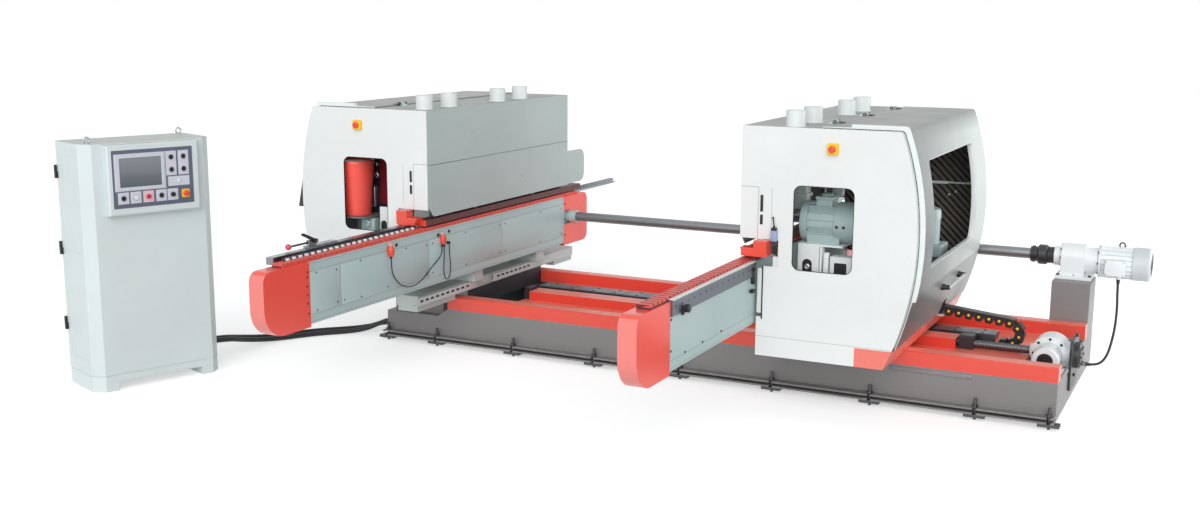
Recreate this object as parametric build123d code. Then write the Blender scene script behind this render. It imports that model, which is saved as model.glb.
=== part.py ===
from build123d import *
import os
from math import atan2, cos, degrees, pi, radians, sin, sqrt, tan

# Double-end profiler, in millimetres: x across the machine, y along the feed, z up from the floor.
# Places are measured from the middle of the base. The finished parts are moved together so that the
# origin lies on the floor under the middle of the whole machine.
# The two heads are twins: they are drawn once in their own "out" direction, from the conveyor beam's
# inner face outwards, and the left one is mirrored.

# Fits
RUNNING_FIT = 0.05
SLIDE_GAP = 0.4
COVER_GAP = 2

# Base frame
BASE_LENGTH = 4548
BASE_FRONT = -632
BASE_REAR = 612
BASE_BOTTOM = 35
BASE_TOP = 260
BASE_WALL = 12
FLANGE_REACH = 68
FLANGE_THICK = 10
FLANGE_TOP = 73
LOW_DECK_TOP = 204
PIT_FAR = 277
PIT_NEAR = 123
BAY_LENGTH = 244
RIB_COUNT = 7
PEDESTAL_TOP = 385
PEDESTAL_LENGTH = 400
PEDESTAL_NEAR = 420
PEDESTAL_FAR = 560
POST_WIDTH = 236
POST_DEPTH = 290
POST_TOP = 600
POST_WALL = 8
BAY_NOTCH_BOTTOM = 200
BAY_NOTCH_HALF = 190

# Levelling feet
FOOT_PITCH = 612
FOOT_SIDE_COUNT = 7
FOOT_OUT = 35
FOOT_END_INSET = 30
STUD_RADIUS = 9
STUD_TOP = 125
SLOT_WIDTH = 22
FOOT_PLATE = (120, 60, 18)
NUT_WIDTH = 30
NUT_HEIGHT = 15

# Red bed
RAIL_START = 196
RAIL_DEPTH = 100
RAIL_TOP = 350
RAIL_EDGE = 7
DECK_THICK = 6
SCREW_COVER_START = 50
SCREW_COVER_SHORT = 674
SCREW_COVER_FRONT = -135
SCREW_COVER_REAR = 10
SCREW_COVER_TOP = 330
SCREW_COVER_SHEET = 4

# Guideway
GUIDE_START = 20
GUIDE_SHORT = 474
GUIDE_FRONT = 60
GUIDE_WIDTH = 140
GUIDE_BOTTOM = 290
GUIDE_TOP = 335
GUIDE_INSET = 10

# Lead screw and its drive
SCREW_Y = -60
SCREW_Z = 296
SCREW_RADIUS = 24
JOURNAL_RADIUS = 20
SCREW_SHOULDER_GAP = 8
SCREW_END_SHORT = 184
LEFT_BEARING_LENGTH = 42
RIGHT_BEARING_GAP = 15
RIGHT_BEARING_LENGTH = 85
BEARING_WIDTH = 100
BEARING_TOP = 350
BEARING_RING_RADIUS = 46
BEARING_RING = 10
SCREW_CASE_INSET = 124
SCREW_CASE_RADIUS = 110
SCREW_CASE_FRONT = -122
SCREW_CASE_REAR = 22
SCREW_MOTOR_RADIUS = 74
SCREW_COWL_RADIUS = 79
SCREW_COWL_LENGTH = 88
SCREW_MOTOR_FRONT = -300
SCREW_BOSS_RADIUS = 42
END_BRACKET_THICK = 14
END_BRACKET_BOTTOM = 100
END_BRACKET_HALF = 150
END_HUB_RADIUS = 78
END_HUB_LENGTH = 38

# Feed drive
SHAFT_Y = 822
SHAFT_Z = 733
SHAFT_RADIUS = 35
DRIVE_INSET = 255
COUPLING_LENGTH = 151
COUPLING_FLANGE_START = 44
COUPLING_FLANGE_LENGTH = 66
COUPLING_SLEEVE_RADIUS = 48
COUPLING_FLANGE_RADIUS = 65
GEAR_STUB_RADIUS = 25
GEAR_STUB_LENGTH = 30
GEAR_NOSE_RADIUS = 62
GEAR_NOSE_LENGTH = 48
GEAR_CASE_LENGTH = 146
GEAR_CASE_HALF = 88
GEAR_FOOT_START = 21
GEAR_FOOT_LENGTH = 224
GEAR_FOOT_HALF = 105
GEAR_FOOT_THICK = 22
ADAPTOR_LENGTH = 85
ADAPTOR_RADIUS = 84
MOTOR_Z = 718
MOTOR_FLANGE_RADIUS = 106
MOTOR_FLANGE_THICK = 14
MOTOR_RADIUS = 92
MOTOR_FIN_RADIUS = 103
MOTOR_FIN_COUNT = 20
MOTOR_FIN_THICK = 4
MOTOR_LENGTH = 205
COWL_LENGTH = 107
COWL_RADIUS = 107
COWL_EDGE = 22
TERMINAL_START = 47
TERMINAL_LENGTH = 123
TERMINAL_FRONT = 668
TERMINAL_BOTTOM = 655
TERMINAL_TOP = 752
EYEBOLT_RADIUS = 17
EYEBOLT_WIRE = 5
SPROCKET_RADIUS = 146
SPROCKET_TEETH = 18
SPROCKET_TOOTH = 12
SPROCKET_OUT = 76
SPROCKET_THICK = 12

# Heads: the left one from the base's left end, the right one from the base's middle
LEFT_HEAD_INSET = 701
RIGHT_FACE = 560

# Conveyor beam
BEAM_WIDTH = 94
BEAM_FRONT = -2346
BEAM_REAR = 704
BEAM_BOTTOM = 535
BEAM_TOP = 895
BEAM_SHEET = 5
BEAM_PLATE_COUNT = 5
BEAM_PLATE_THICK = 3
BEAM_PLATE_BOTTOM = 592
BEAM_PLATE_TOP = 838
TONGUE_START = 640
TONGUE_END = 950
TONGUE_INNER = 22
TONGUE_OUTER = 72
TONGUE_HALF_HEIGHT = 130
HUB_RADIUS = 48
HUB_REACH = 58

# Beam end caps
CAP_FRONT = -2738
CAP_REAR = 1090
CAP_BOTTOM = 518
CAP_SHEET = 3
CAP_PROUD = 3
CAP_TOP_RADIUS = 60
CAP_LOW_RADIUS = 165

# Conveyor chain
CHAIN_FRONT = -2560
CHAIN_REAR = 960
CHAIN_INNER = 10
CHAIN_OUTER = 84
CHAIN_STRIP = 8
PAD_PITCH = 48.5
PAD_LENGTH = 39
PAD_HEIGHT = 14

# Hood
HOOD_FRONT = -1143
HOOD_REAR = 770
HOOD_TOP = 1668
HOOD_BOTTOM = 352
HOOD_TOP_WIDTH = 900
HOOD_BELLY_WIDTH = 1007
HOOD_BELLY_Z = 1068
HOOD_FOOT_WIDTH = 852
HOOD_CORNER = 28
SHEET = 4
PANEL_THICK = 8
LEFT_PANEL_BOTTOM = 560
FOOT_EDGE = 108
FOOT_STEP_Z = 580
BEAM_EDGE = 143
WORK_EDGE = 229
WORK_BOTTOM = 875
WORK_TOP = 1030
WINDOW_INNER = 311
WINDOW_OUTER = 658
WINDOW_BOTTOM = 866
WINDOW_TOP = 1348
WINDOW_RADIUS = 45
HOOP_DROP = 15
HOOP_THICK = 10
HOOP_DEPTH = 96
SIDE_BOTTOM = 983
SIDE_CUT = 65
TAIL_REAR = 1045
TAIL_BOTTOM = 990
TAIL_TOP = 1240
TAIL_RADIUS = 70
SEAM_Z = 1318
SEAM_GAP = 6
PRESSING_PROUD = 2
PRESSING_INSET = 26
LOWER_PRESSING_BOTTOM = 1052

# Hinged outer cover
HINGE_OUT = 434
HINGE_RISE = 14
HINGE_PLACES = (-783, -162, 483)
HINGE_RADIUS = 9
HINGE_PIN_RADIUS = 4
KNUCKLE_LENGTH = 46
ROOF_LAP = 30
COVER_LIFT = 1
COVER_SHEET = 5
COVER_FRONT = -1075
COVER_REAR = 748
COVER_BOTTOM = 455
LIP_DEPTH = 30
LIP_PROUD = 18
LIP_START = 606
LIP_BOTTOM = 735
COVER_WINDOW_FRONT = -760
COVER_WINDOW_REAR = 410
COVER_WINDOW_BOTTOM = 872
COVER_WINDOW_TOP = 1486
COVER_WINDOW_RADIUS = 30
HANDLE_FRONT = -260
HANDLE_REAR = 190
HANDLE_Z = 672
HANDLE_REACH = 42
HANDLE_RADIUS = 10

# Red skirt of the right head
SKIRT_START = 689
SKIRT_TOP_FRONT = 460
SKIRT_SHEET = 6

# Dust ports
PORT_RADIUS = 55
PORT_WALL = 4
PORT_HEIGHT = 90
PORT_FLANGE = 5
PORT_FLANGE_THICK = 4
RIGHT_PORT_OUT = 285
RIGHT_PORT_PLACES = (-1066, -752, -75, 263)
LEFT_PORT_OUT = 95
LEFT_PORT_PLACES = (-1018, -727, -103, 206)

# Pressure beam
PRESS_INNER = 10
PRESS_OUTER = 86
PRESS_BOTTOM = 927
PRESS_TOP = 966
PRESS_FRONT = -1225
PRESS_REAR = 1000
NOSE_GAP = 8
NOSE_INNER = 30
NOSE_STEP = 110
NOSE_OUTER = 188
NOSE_BOTTOM = 940
NOSE_MIDDLE = 988
NOSE_TOP = 1030
PRESS_ROD_RADIUS = 15
PRESS_ROD_TOP = 1300
PRESS_ROD_PLACES = (-500, 300)
GUIDE_BLOCK_BOTTOM = 1150
GUIDE_BLOCK_TOP = 1230
GUIDE_BLOCK_HALF = 32

# Saw motor and blade
SAW_Z = 1116
RIGHT_SAW_Y = -880
LEFT_SAW_Y = -560
SAW_MOTOR_INNER = 300
SAW_MOTOR_LENGTH = 390
SAW_MOTOR_RADIUS = 112
SAW_SHIELD_LENGTH = 40
SAW_SHIELD_RADIUS = 116
SAW_COWL_LENGTH = 90
SAW_FIN_COUNT = 16
SAW_FIN_HEIGHT = 8
SAW_FIN_THICK = 5
SAW_FOOT_LENGTH = 190
SAW_FOOT_HALF = 90
SAW_BOX_LENGTH = 92
SAW_BOX_HALF = 55
SAW_BOX_TOP = 1262
ARBOR_RADIUS = 19
ARBOR_BORE = 60
BLADE_OUT = 112
BLADE_THICK = 6
BLADE_RADIUS = 198
BLADE_TEETH = 24
BLADE_TOOTH = 9
BLADE_FLANGE_RADIUS = 52
BLADE_FLANGE_THICK = 14

# Saddles
SADDLE_INNER = 10
SADDLE_CLEAR = 12
SADDLE_HALF_DEPTH = 640
SADDLE_BOTTOM = 362
SADDLE_THICK = 30
SHOE_INNER = 60
SHOE_SHORT = 40
SHOE_INSET = 10
NUT_INNER = 420
NUT_OUTER = 520
NUT_PLATE_FRONT = 15
NUT_PLATE_REAR = 45
NUT_BOTTOM = 272
NUT_TOP = 321
NUT_FRONT = -105
MEMBER_WIDTH = 50
MEMBER_HEIGHT = 60
MEMBER_INNER = 150
RISER_PLACES = (-500, 370)
RISER_DEPTH = 110
COLUMN_INNER = 300
COLUMN_WIDTH = 125
COLUMN_DEPTH = 100
COLUMN_FORWARD = 120
COLUMN_ARCH_WIDTH = 46
COLUMN_ARCH_BOTTOM = 795
COLUMN_ARCH_TOP = 872
SEAT_THICK = 12
SEAT_LENGTH = 260
SEAT_REAR = 120
LEFT_SADDLE_INNER = 90
LEFT_SADDLE_OUTER = 262
LEFT_SADDLE_TOP = 455
LEFT_SADDLE_REAR = 1020
LEFT_FOOT_BOTTOM = 349
LEFT_FOOT_INSET = 10
LEFT_FRONT_FOOT_REAR = -680
LEFT_REAR_FOOT_FRONT = 730
LEFT_CROSS_TOP = 425
LEFT_RISER_INNER = 20
TIE_BAR_DEPTH = 35
TIE_BAR_SHEET = 6
TIE_BARS = ((-1210, -470), (-240, 384))
TIE_BAR_BOTTOM = 402
TIE_BAR_TOP = 454
SHELF_TOP = 940
SHELF_THICK = 10
CANISTER_OUT = 632
CANISTER_Y = -985
CANISTER_RADIUS = 130
CANISTER_FOOT_RADIUS = 116
CANISTER_HEIGHT = 368
CANISTER_RIM = 5
CANISTER_RIM_HEIGHT = 26

# Left fence with its clamps
FENCE_INNER = 100
FENCE_OUTER = 150
FENCE_FRONT = -2530
FENCE_REAR = -1160
FENCE_BOTTOM = 898
FENCE_TOP = 940
FENCE_BRACKETS = (-2250, -1750, -1250)
FENCE_BRACKET_HALF = 35
FENCE_BRACKET_BOTTOM = 840
TAIL_FENCE_FRONT = 640
TAIL_FENCE_END = 1800
TAIL_FENCE_OUTER = 140
TAIL_FENCE_BOTTOM = 878
TAIL_FENCE_TOP = 893
ROLLER_PITCH = 46
ROLLER_FIRST = 1000
ROLLER_LEAN = 30
ROLLER_LENGTH = 26
ROLLER_THICK = 9
CLAMP_FRONT = -2190
CLAMP_REAR = -1934
CLAMP_INNER = 112
CLAMP_OUTER = 166
CLAMP_THICK = 9
CLAMP_LUG = 9
CLAMP_PIN_RADIUS = 6
CLAMP_LEVER_WIDTH = 14
BALL_PIVOT_Y = -2158
BALL_PIVOT_Z = 966
BALL_LEVER_LENGTH = 178
BALL_LEVER_RADIUS = 6
BALL_RADIUS = 18
BALL_BOSS_RADIUS = 13
GRIP_PIVOT_Y = -2118
GRIP_PIVOT_Z = 974
GRIP_LENGTH = 132
GRIP_LEAN = 24
GRIP_WIDTH = 16
GRIP_BOSS_RADIUS = 13

# Holed rail on the right beam
RAIL_BAR_THICK = 12
RAIL_BAR_BOTTOM = 818
RAIL_BAR_FRONT = -2340
RAIL_BAR_REAR = -1156
RAIL_HOLE_COUNT = 15
RAIL_HOLE_RADIUS = 6
RAIL_HOLE_Z = 866
EDGE_STRIP_INNER = 86
EDGE_STRIP_HEIGHT = 12

# Hand switches on the left beam
SWITCH_PLACES = (-1583, -1002)
SWITCH_TOPS = (890, 875)
SWITCH_HEIGHT = 84
SWITCH_WIDTH = 46
SWITCH_DEPTH = 36
SWITCH_EDGE = 8
SWITCH_GLAND_RADIUS = 8
SWITCH_GLAND_LENGTH = 16
SWITCH_LEAD_Y = (-1583, -1015, -990, -930)
LEAD_DIAMETER = 7
LEAD_CLIP_Z = 800

# Energy chain
LINK_PITCH = 62
LINK_HEIGHT = 56
LINK_WALL = 7
LINK_GAP = 0.4
CHAIN_WAY_FRONT = 20
CHAIN_WAY_WIDTH = 70
CHAIN_WAY_GAP = 22
CHAIN_WAY_STRAIGHT = 68
CHAIN_WAY_BEND = 66
CHAIN_WAY_SLOPE = 5.8
CHAIN_NOTCH_SIDE = 15
CHAIN_NOTCH_TOP = 532
CHAIN_BRACKET_THICK = 14

# Emergency stops on the hoods
STOP_OUT = 530
STOP_Z = 1560
STOP_BOX = 62
STOP_BOX_DEPTH = 22
STOP_STEM_RADIUS = 8
STOP_HEAD_RADIUS = 20
STOP_HEAD_THICK = 14
STOP_TRAVEL = 6
STOP_STEM_LENGTH = 24

# Control cabinet, drawn from its front left corner on the floor
CABINET_STAND = 715
CABINET_Y = -2636
CABINET_TURN = 69.4
CABINET_WIDTH = 825
CABINET_DEPTH = 380
CABINET_HEIGHT = 1512
CABINET_CHAMFER = 62
CABINET_WALL = 12
PLINTH_HEIGHT = 98
PLINTH_SEAM = 4
PLINTH_SEAM_DEPTH = 3
PLINTH_CUT_LEFT = 144
PLINTH_CUT_RIGHT = 689
PLINTH_CUT_TOP = 53
CABINET_FLOOR_Z = 120
SIDE_RECESS = 3
SIDE_RECESS_INSET = 70
SIDE_RECESS_SPANS = ((190, 780), (850, 1430))
BACKPLATE_THICK = 4
BACKPLATE_INSET = 40
DIN_RAIL_COUNT = 4
DIN_RAIL_HEIGHT = 35
DIN_RAIL_THICK = 8
DOOR_THICK = 20
DOOR_GAP = 0.5
DOOR_INSET = 3
DOOR_FOLD = 3
DOOR_HINGE_PLACES = (343, 815, 1285)
DOOR_HINGE_RADIUS = 9
DOOR_PIN_RADIUS = 4
DOOR_KNUCKLE = 40
CABINET_EYES = ((62, 60), (765, 330))
CABINET_EYE_RADIUS = 17
CABINET_EYE_WIRE = 5
CABLE_GLAND_RADIUS = 27
CABLE_GLAND_LENGTH = 30
CABLE_GLAND_Z = 130
CABLE_GLAND_DEPTHS = (350, 290)

# Operator panel on the cabinet's front
DESK_LEFT = 125
DESK_RIGHT = 705
DESK_BOTTOM = 1080
DESK_TOP = 1506
DESK_DEPTH = 60
DESK_EDGE = 10
PLATE_LEFT = 152
PLATE_RIGHT = 661
PLATE_BOTTOM = 1125
PLATE_TOP = 1473
PLATE_THICK = 3
SCREEN_LEFT = 175
SCREEN_RIGHT = 475
SCREEN_BOTTOM = 1230
SCREEN_TOP = 1445
SCREEN_FRAME = 20
SCREEN_PROUD = 7
SCREEN_SUNK = 4
RING_RADIUS = 17
RING_BORE = 14
RING_HEIGHT = 5
STEM_RADIUS = 6
STEM_LENGTH = 16
KNOB_RADIUS = 13.5
KNOB_BASE = 5
KNOB_GRIP = 9
KNOB_GRIP_WIDTH = 8
BUTTON_TRAVEL = 4
BUTTON_HEIGHT = 9
LAMP_X = 568
LAMP_Z = 1267
LAMP_RADIUS = 11
SELECTORS = {
    "selector_top_left": (522, 1414),
    "selector_top_right": (601, 1414),
    "selector_mid_left": (522, 1337),
    "selector_mid_right": (601, 1337),
    "selector_row_left": (213, 1185),
    "selector_row_right": (450, 1185),
}
BUTTONS = {"push_white": (290, 1185), "push_red": (369, 1185), "push_black": (524, 1185)}
PANEL_STOP = (607, 1185)
PANEL_STOP_PLATE = 52
PANEL_STOP_PLATE_THICK = 4
PANEL_STOP_STEM = 7
PANEL_STOP_RADIUS = 19

# Cables: diameters, glands and routes
FLOOR_CABLE_DIAMETER = 34
BASE_GLAND_RADIUS = 25
BASE_GLAND_LENGTH = 28
FLOOR_GLANDS = ((-440, 84), (-530, 84))
MOTOR_CABLE_DIAMETER = 16
MOTOR_GLAND_RADIUS = 14
MOTOR_GLAND_LENGTH = 22
MOTOR_GLAND_OUT = 83
MOTOR_GLAND_Y = 696
BASE_MOTOR_GLAND = (385, 136)

# Values worked out from the sizes above
BASE_HALF = BASE_LENGTH / 2
LEFT_FACE = -BASE_HALF + LEFT_HEAD_INSET
PIT_LEFT = LEFT_FACE - PIT_FAR
PIT_RIGHT = LEFT_FACE + PIT_NEAR
BAY_LEFT = BASE_HALF - BAY_LENGTH
RAIL_LEFT = LEFT_FACE - RAIL_START
SCREW_COVER_LEFT = PIT_RIGHT + SCREW_COVER_START
SCREW_COVER_RIGHT = BASE_HALF - SCREW_COVER_SHORT
RIGHT_BEARING_LEFT = SCREW_COVER_RIGHT + RIGHT_BEARING_GAP
GUIDE_LEFT = PIT_RIGHT + GUIDE_START
GUIDE_RIGHT = BASE_HALF - GUIDE_SHORT
SCREW_END = BASE_HALF - SCREW_END_SHORT
SCREW_CASE_X = BASE_HALF - SCREW_CASE_INSET
COUPLING_RIGHT = BASE_HALF - DRIVE_INSET
COUPLING_LEFT = COUPLING_RIGHT - COUPLING_LENGTH
COUPLING_FLANGE_LEFT = COUPLING_LEFT + COUPLING_FLANGE_START
COUPLING_FLANGE_RIGHT = COUPLING_FLANGE_LEFT + COUPLING_FLANGE_LENGTH
GEAR_CASE_LEFT = COUPLING_RIGHT + GEAR_NOSE_LENGTH
GEAR_CASE_RIGHT = GEAR_CASE_LEFT + GEAR_CASE_LENGTH
GEAR_FOOT_LEFT = COUPLING_RIGHT + GEAR_FOOT_START
GEAR_FOOT_RIGHT = GEAR_FOOT_LEFT + GEAR_FOOT_LENGTH
ADAPTOR_RIGHT = GEAR_CASE_RIGHT + ADAPTOR_LENGTH
COWL_LEFT = ADAPTOR_RIGHT + MOTOR_LENGTH
COWL_RIGHT = COWL_LEFT + COWL_LENGTH
TERMINAL_LEFT = ADAPTOR_RIGHT + TERMINAL_START
TERMINAL_RIGHT = TERMINAL_LEFT + TERMINAL_LENGTH
MOTOR_GLAND_X = TERMINAL_LEFT + MOTOR_GLAND_OUT
SADDLE_OUTER = HOOD_FOOT_WIDTH - SADDLE_CLEAR
SHOE_OUTER = SADDLE_OUTER - SHOE_SHORT
MEMBER_OUTER = SADDLE_OUTER - MEMBER_WIDTH
CHAIN_WAY_START = GUIDE_RIGHT + CHAIN_WAY_GAP
CHAIN_WAY_BEND_X = CHAIN_WAY_START + CHAIN_WAY_STRAIGHT
CABINET_X = -BASE_HALF - CABINET_STAND
DECK_TOP = BASE_TOP + DECK_THICK
GUIDE_REAR = GUIDE_FRONT + GUIDE_WIDTH
CHAIN_TOP = BEAM_TOP + CHAIN_STRIP + PAD_HEIGHT
PANEL_BACK = HOOD_FRONT + PANEL_THICK
REAR_WALL = HOOD_REAR - SHEET
POST_LEFT = BASE_HALF - POST_WIDTH
POST_REAR = BASE_REAR + POST_DEPTH
CHAIN_WAY_REAR = CHAIN_WAY_FRONT + CHAIN_WAY_WIDTH
CHAIN_WAY_LOW = DECK_TOP + SLIDE_GAP + LINK_HEIGHT / 2
HINGE_Z = HOOD_TOP + HINGE_RISE
SCREW_BOSS_LEFT = BAY_LEFT + COVER_GAP
SCREW_MAIN_RIGHT = SCREW_BOSS_LEFT - SCREW_SHOULDER_GAP
CABINET_BACK = CABINET_DEPTH + DOOR_THICK

nodes = {}
cord_names = []


def block(x, y, z):
    """A box between the low and high limits given for each axis."""
    centre = [(low + high) / 2 for low, high in (x, y, z)]
    size = [high - low for low, high in (x, y, z)]
    return Pos(*centre) * Box(*size)


def rod_x(x, y, z, radius):
    """A round bar along x, from the low to the high limit in x."""
    return Pos((x[0] + x[1]) / 2, y, z) * Rot(0, 90, 0) * Cylinder(radius, x[1] - x[0])


def rod_y(x, y, z, radius):
    """A round bar along y, from the low to the high limit in y."""
    return Pos(x, (y[0] + y[1]) / 2, z) * Rot(90, 0, 0) * Cylinder(radius, y[1] - y[0])


def rod_z(x, y, z, radius):
    """A round bar along z, from the low to the high limit in z."""
    return Pos(x, y, (z[0] + z[1]) / 2) * Cylinder(radius, z[1] - z[0])


def plate_x(face, x):
    """An outline drawn in y and z, made a plate between two places in x."""
    return extrude(Plane((x[0], 0, 0), x_dir=(0, 1, 0), z_dir=(1, 0, 0)) * face, x[1] - x[0])


def plate_y(face, y):
    """An outline drawn in x and z, made a plate between two places in y."""
    return extrude(Plane((0, y[1], 0), x_dir=(1, 0, 0), z_dir=(0, -1, 0)) * face, y[1] - y[0])


def plate_z(face, z):
    """An outline drawn in x and y, made a plate between two heights."""
    return extrude(Pos(0, 0, z[0]) * face, z[1] - z[0])


def rectangle(a, b, radius=0):
    """A rectangle between two limits each way, with round corners where a radius is given."""
    size = (a[1] - a[0], b[1] - b[0])
    flat = RectangleRounded(*size, radius) if radius else Rectangle(*size)
    return Pos((a[0] + a[1]) / 2, (b[0] + b[1]) / 2) * flat


def outline(*points):
    """A face with straight sides through the points."""
    return make_face(Polyline(*points, close=True))


def add(name, *solids):
    """Keeps the solids of one named piece."""
    nodes[name] = [solid for shape in solids for solid in shape.solids()]


def on_right(shape):
    return Pos(RIGHT_FACE, 0, 0) * shape


def on_left(shape):
    return Pos(LEFT_FACE, 0, 0) * mirror(shape, about=Plane.YZ)


# Base frame: plate walls with foot flanges, decks, ribs, pedestals and the drive post

def foot_places():
    """Places of the levelling feet along the base."""
    middle = (FOOT_SIDE_COUNT - 1) / 2
    places = [FOOT_PITCH * (index - middle) for index in range(FOOT_SIDE_COUNT)]
    end = BASE_HALF - FOOT_END_INSET
    return [-end] + places + [end]


def side_wall(y):
    wall = outline(
        (-BASE_HALF, BASE_BOTTOM), (BASE_HALF, BASE_BOTTOM), (BASE_HALF, BASE_TOP),
        (RAIL_LEFT, BASE_TOP), (PIT_LEFT, LOW_DECK_TOP), (-BASE_HALF, LOW_DECK_TOP),
    )
    return plate_y(wall, y)


def flanges(y, right):
    lower = block((-BASE_HALF, right), y, (BASE_BOTTOM, BASE_BOTTOM + FLANGE_THICK))
    upper = block((-BASE_HALF, right), y, (FLANGE_TOP - FLANGE_THICK, FLANGE_TOP))
    return lower + upper


def base_frame():
    across = (BASE_FRONT, BASE_REAR)
    frame = side_wall((BASE_FRONT, BASE_FRONT + BASE_WALL)) + side_wall((BASE_REAR - BASE_WALL, BASE_REAR))
    frame += flanges((BASE_FRONT - FLANGE_REACH, BASE_FRONT), BASE_HALF)
    frame += flanges((BASE_REAR, BASE_REAR + FLANGE_REACH), POST_LEFT)
    frame += block((-BASE_HALF, -BASE_HALF + BASE_WALL), across, (BASE_BOTTOM, LOW_DECK_TOP))
    right_end = block((BASE_HALF - BASE_WALL, BASE_HALF), across, (BASE_BOTTOM, BASE_TOP))
    notch_y = (SCREW_Y - BAY_NOTCH_HALF, SCREW_Y + BAY_NOTCH_HALF)
    right_end -= block((BAY_LEFT, BASE_HALF), notch_y, (BAY_NOTCH_BOTTOM, BASE_TOP))
    frame += right_end
    frame += block((-BASE_HALF, PIT_LEFT), across, (LOW_DECK_TOP - BASE_WALL, LOW_DECK_TOP))
    frame += block((PIT_RIGHT, BAY_LEFT), across, (BASE_TOP - BASE_WALL, BASE_TOP))
    for ledge in ((BASE_FRONT, BASE_FRONT + RAIL_DEPTH), (BASE_REAR - RAIL_DEPTH, BASE_REAR)):
        frame += block((RAIL_LEFT, BASE_HALF), ledge, (BASE_TOP - BASE_WALL, BASE_TOP))
    frame += block((PIT_LEFT - BASE_WALL, PIT_LEFT), across, (FLANGE_TOP, LOW_DECK_TOP))
    rib_pitch = (BAY_LEFT - PIT_RIGHT - BASE_WALL) / (RIB_COUNT - 1)
    for index in range(RIB_COUNT):
        rib = PIT_RIGHT + index * rib_pitch
        frame += block((rib, rib + BASE_WALL), across, (FLANGE_TOP, BASE_TOP))
    for near, far in ((PEDESTAL_NEAR, PEDESTAL_FAR), (-PEDESTAL_FAR, -PEDESTAL_NEAR)):
        frame += block((PIT_LEFT - PEDESTAL_LENGTH, PIT_LEFT), (near, far), (LOW_DECK_TOP, PEDESTAL_TOP))
    post = block((POST_LEFT, BASE_HALF), (BASE_REAR, POST_REAR), (BASE_BOTTOM, POST_TOP))
    inside_x = (POST_LEFT + POST_WALL, BASE_HALF - POST_WALL)
    inside_y = (BASE_REAR + POST_WALL, POST_REAR - POST_WALL)
    frame += post - block(inside_x, inside_y, (BASE_BOTTOM + POST_WALL, POST_TOP - POST_WALL))
    for y, z in FLOOR_GLANDS:
        frame += rod_x((-BASE_HALF - BASE_GLAND_LENGTH, -BASE_HALF), y, z, BASE_GLAND_RADIUS)
    y, z = BASE_MOTOR_GLAND
    frame += rod_x((BASE_HALF, BASE_HALF + BASE_GLAND_LENGTH), y, z, MOTOR_GLAND_RADIUS)
    for x in foot_places():
        slot_x = (x - SLOT_WIDTH / 2, x + SLOT_WIDTH / 2)
        reach = FLANGE_REACH - FOOT_OUT + SLOT_WIDTH / 2
        front = BASE_FRONT - FLANGE_REACH
        rear = BASE_REAR + FLANGE_REACH
        frame -= block(slot_x, (front, front + reach), (BASE_BOTTOM, FLANGE_TOP))
        if slot_x[1] < POST_LEFT:
            frame -= block(slot_x, (rear - reach, rear), (BASE_BOTTOM, FLANGE_TOP))
    return frame


def levelling_foot(x, y, stud_top):
    """A stud that stands on the floor, with the plate under the flange and the nut on top of it."""
    length, width, thick = FOOT_PLATE
    foot = block(
        (x - length / 2, x + length / 2), (y - width / 2, y + width / 2), (BASE_BOTTOM - thick, BASE_BOTTOM))
    foot += rod_z(x, y, (0, stud_top), STUD_RADIUS)
    if stud_top > FLANGE_TOP:
        nut = Pos(x, y) * RegularPolygon(NUT_WIDTH / 2, 6, major_radius=False)
        foot += plate_z(nut, (FLANGE_TOP, FLANGE_TOP + NUT_HEIGHT))
    return foot


def levelling_feet():
    feet = []
    for x in foot_places():
        feet.append(levelling_foot(x, BASE_FRONT - FOOT_OUT, STUD_TOP))
        if x + SLOT_WIDTH < POST_LEFT:
            feet.append(levelling_foot(x, BASE_REAR + FOOT_OUT, STUD_TOP))
    length, width, thick = FOOT_PLATE
    feet.append(levelling_foot((POST_LEFT + BASE_HALF) / 2, POST_REAR - width / 2, BASE_BOTTOM))
    return feet


# Red bed: rails, tray floor, riser of the guideway and the cover over the lead screw

def bed_deck():
    rail_z = (BASE_TOP, RAIL_TOP)
    bed = Part()
    for y in ((BASE_FRONT, BASE_FRONT + RAIL_DEPTH), (BASE_REAR - RAIL_DEPTH, BASE_REAR)):
        rail = block((RAIL_LEFT, BASE_HALF), y, rail_z)
        bed += fillet(rail.edges().filter_by(Axis.X).group_by(Axis.Z)[-1], RAIL_EDGE)
    floor_y = (BASE_FRONT + RAIL_DEPTH, BASE_REAR - RAIL_DEPTH)
    bed += block((PIT_RIGHT, BAY_LEFT), floor_y, (BASE_TOP, DECK_TOP))
    riser_y = (GUIDE_FRONT + GUIDE_INSET, GUIDE_REAR - GUIDE_INSET)
    bed += block((GUIDE_LEFT, GUIDE_RIGHT), riser_y, (DECK_TOP, GUIDE_BOTTOM))
    cover_x = (SCREW_COVER_LEFT, SCREW_COVER_RIGHT)
    front_y = (SCREW_COVER_FRONT, SCREW_COVER_FRONT + SCREW_COVER_SHEET)
    bed += block(cover_x, front_y, (DECK_TOP, SCREW_COVER_TOP))
    top_y = (SCREW_COVER_FRONT, SCREW_COVER_REAR)
    bed += block(cover_x, top_y, (SCREW_COVER_TOP - SCREW_COVER_SHEET, SCREW_COVER_TOP))
    return bed


def guideway():
    bar = block((GUIDE_LEFT, GUIDE_RIGHT), (GUIDE_FRONT, GUIDE_REAR), (GUIDE_BOTTOM, GUIDE_TOP))
    return chamfer(bar.edges().filter_by(Axis.X).group_by(Axis.Z)[-1], GUIDE_INSET / 2)


# Lead screw with its bearings and gearmotor

def lead_screw():
    screw = rod_x((PIT_RIGHT + LEFT_BEARING_LENGTH, SCREW_MAIN_RIGHT), SCREW_Y, SCREW_Z, SCREW_RADIUS)
    screw += rod_x((PIT_RIGHT, SCREW_END), SCREW_Y, SCREW_Z, JOURNAL_RADIUS)
    return screw


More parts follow.
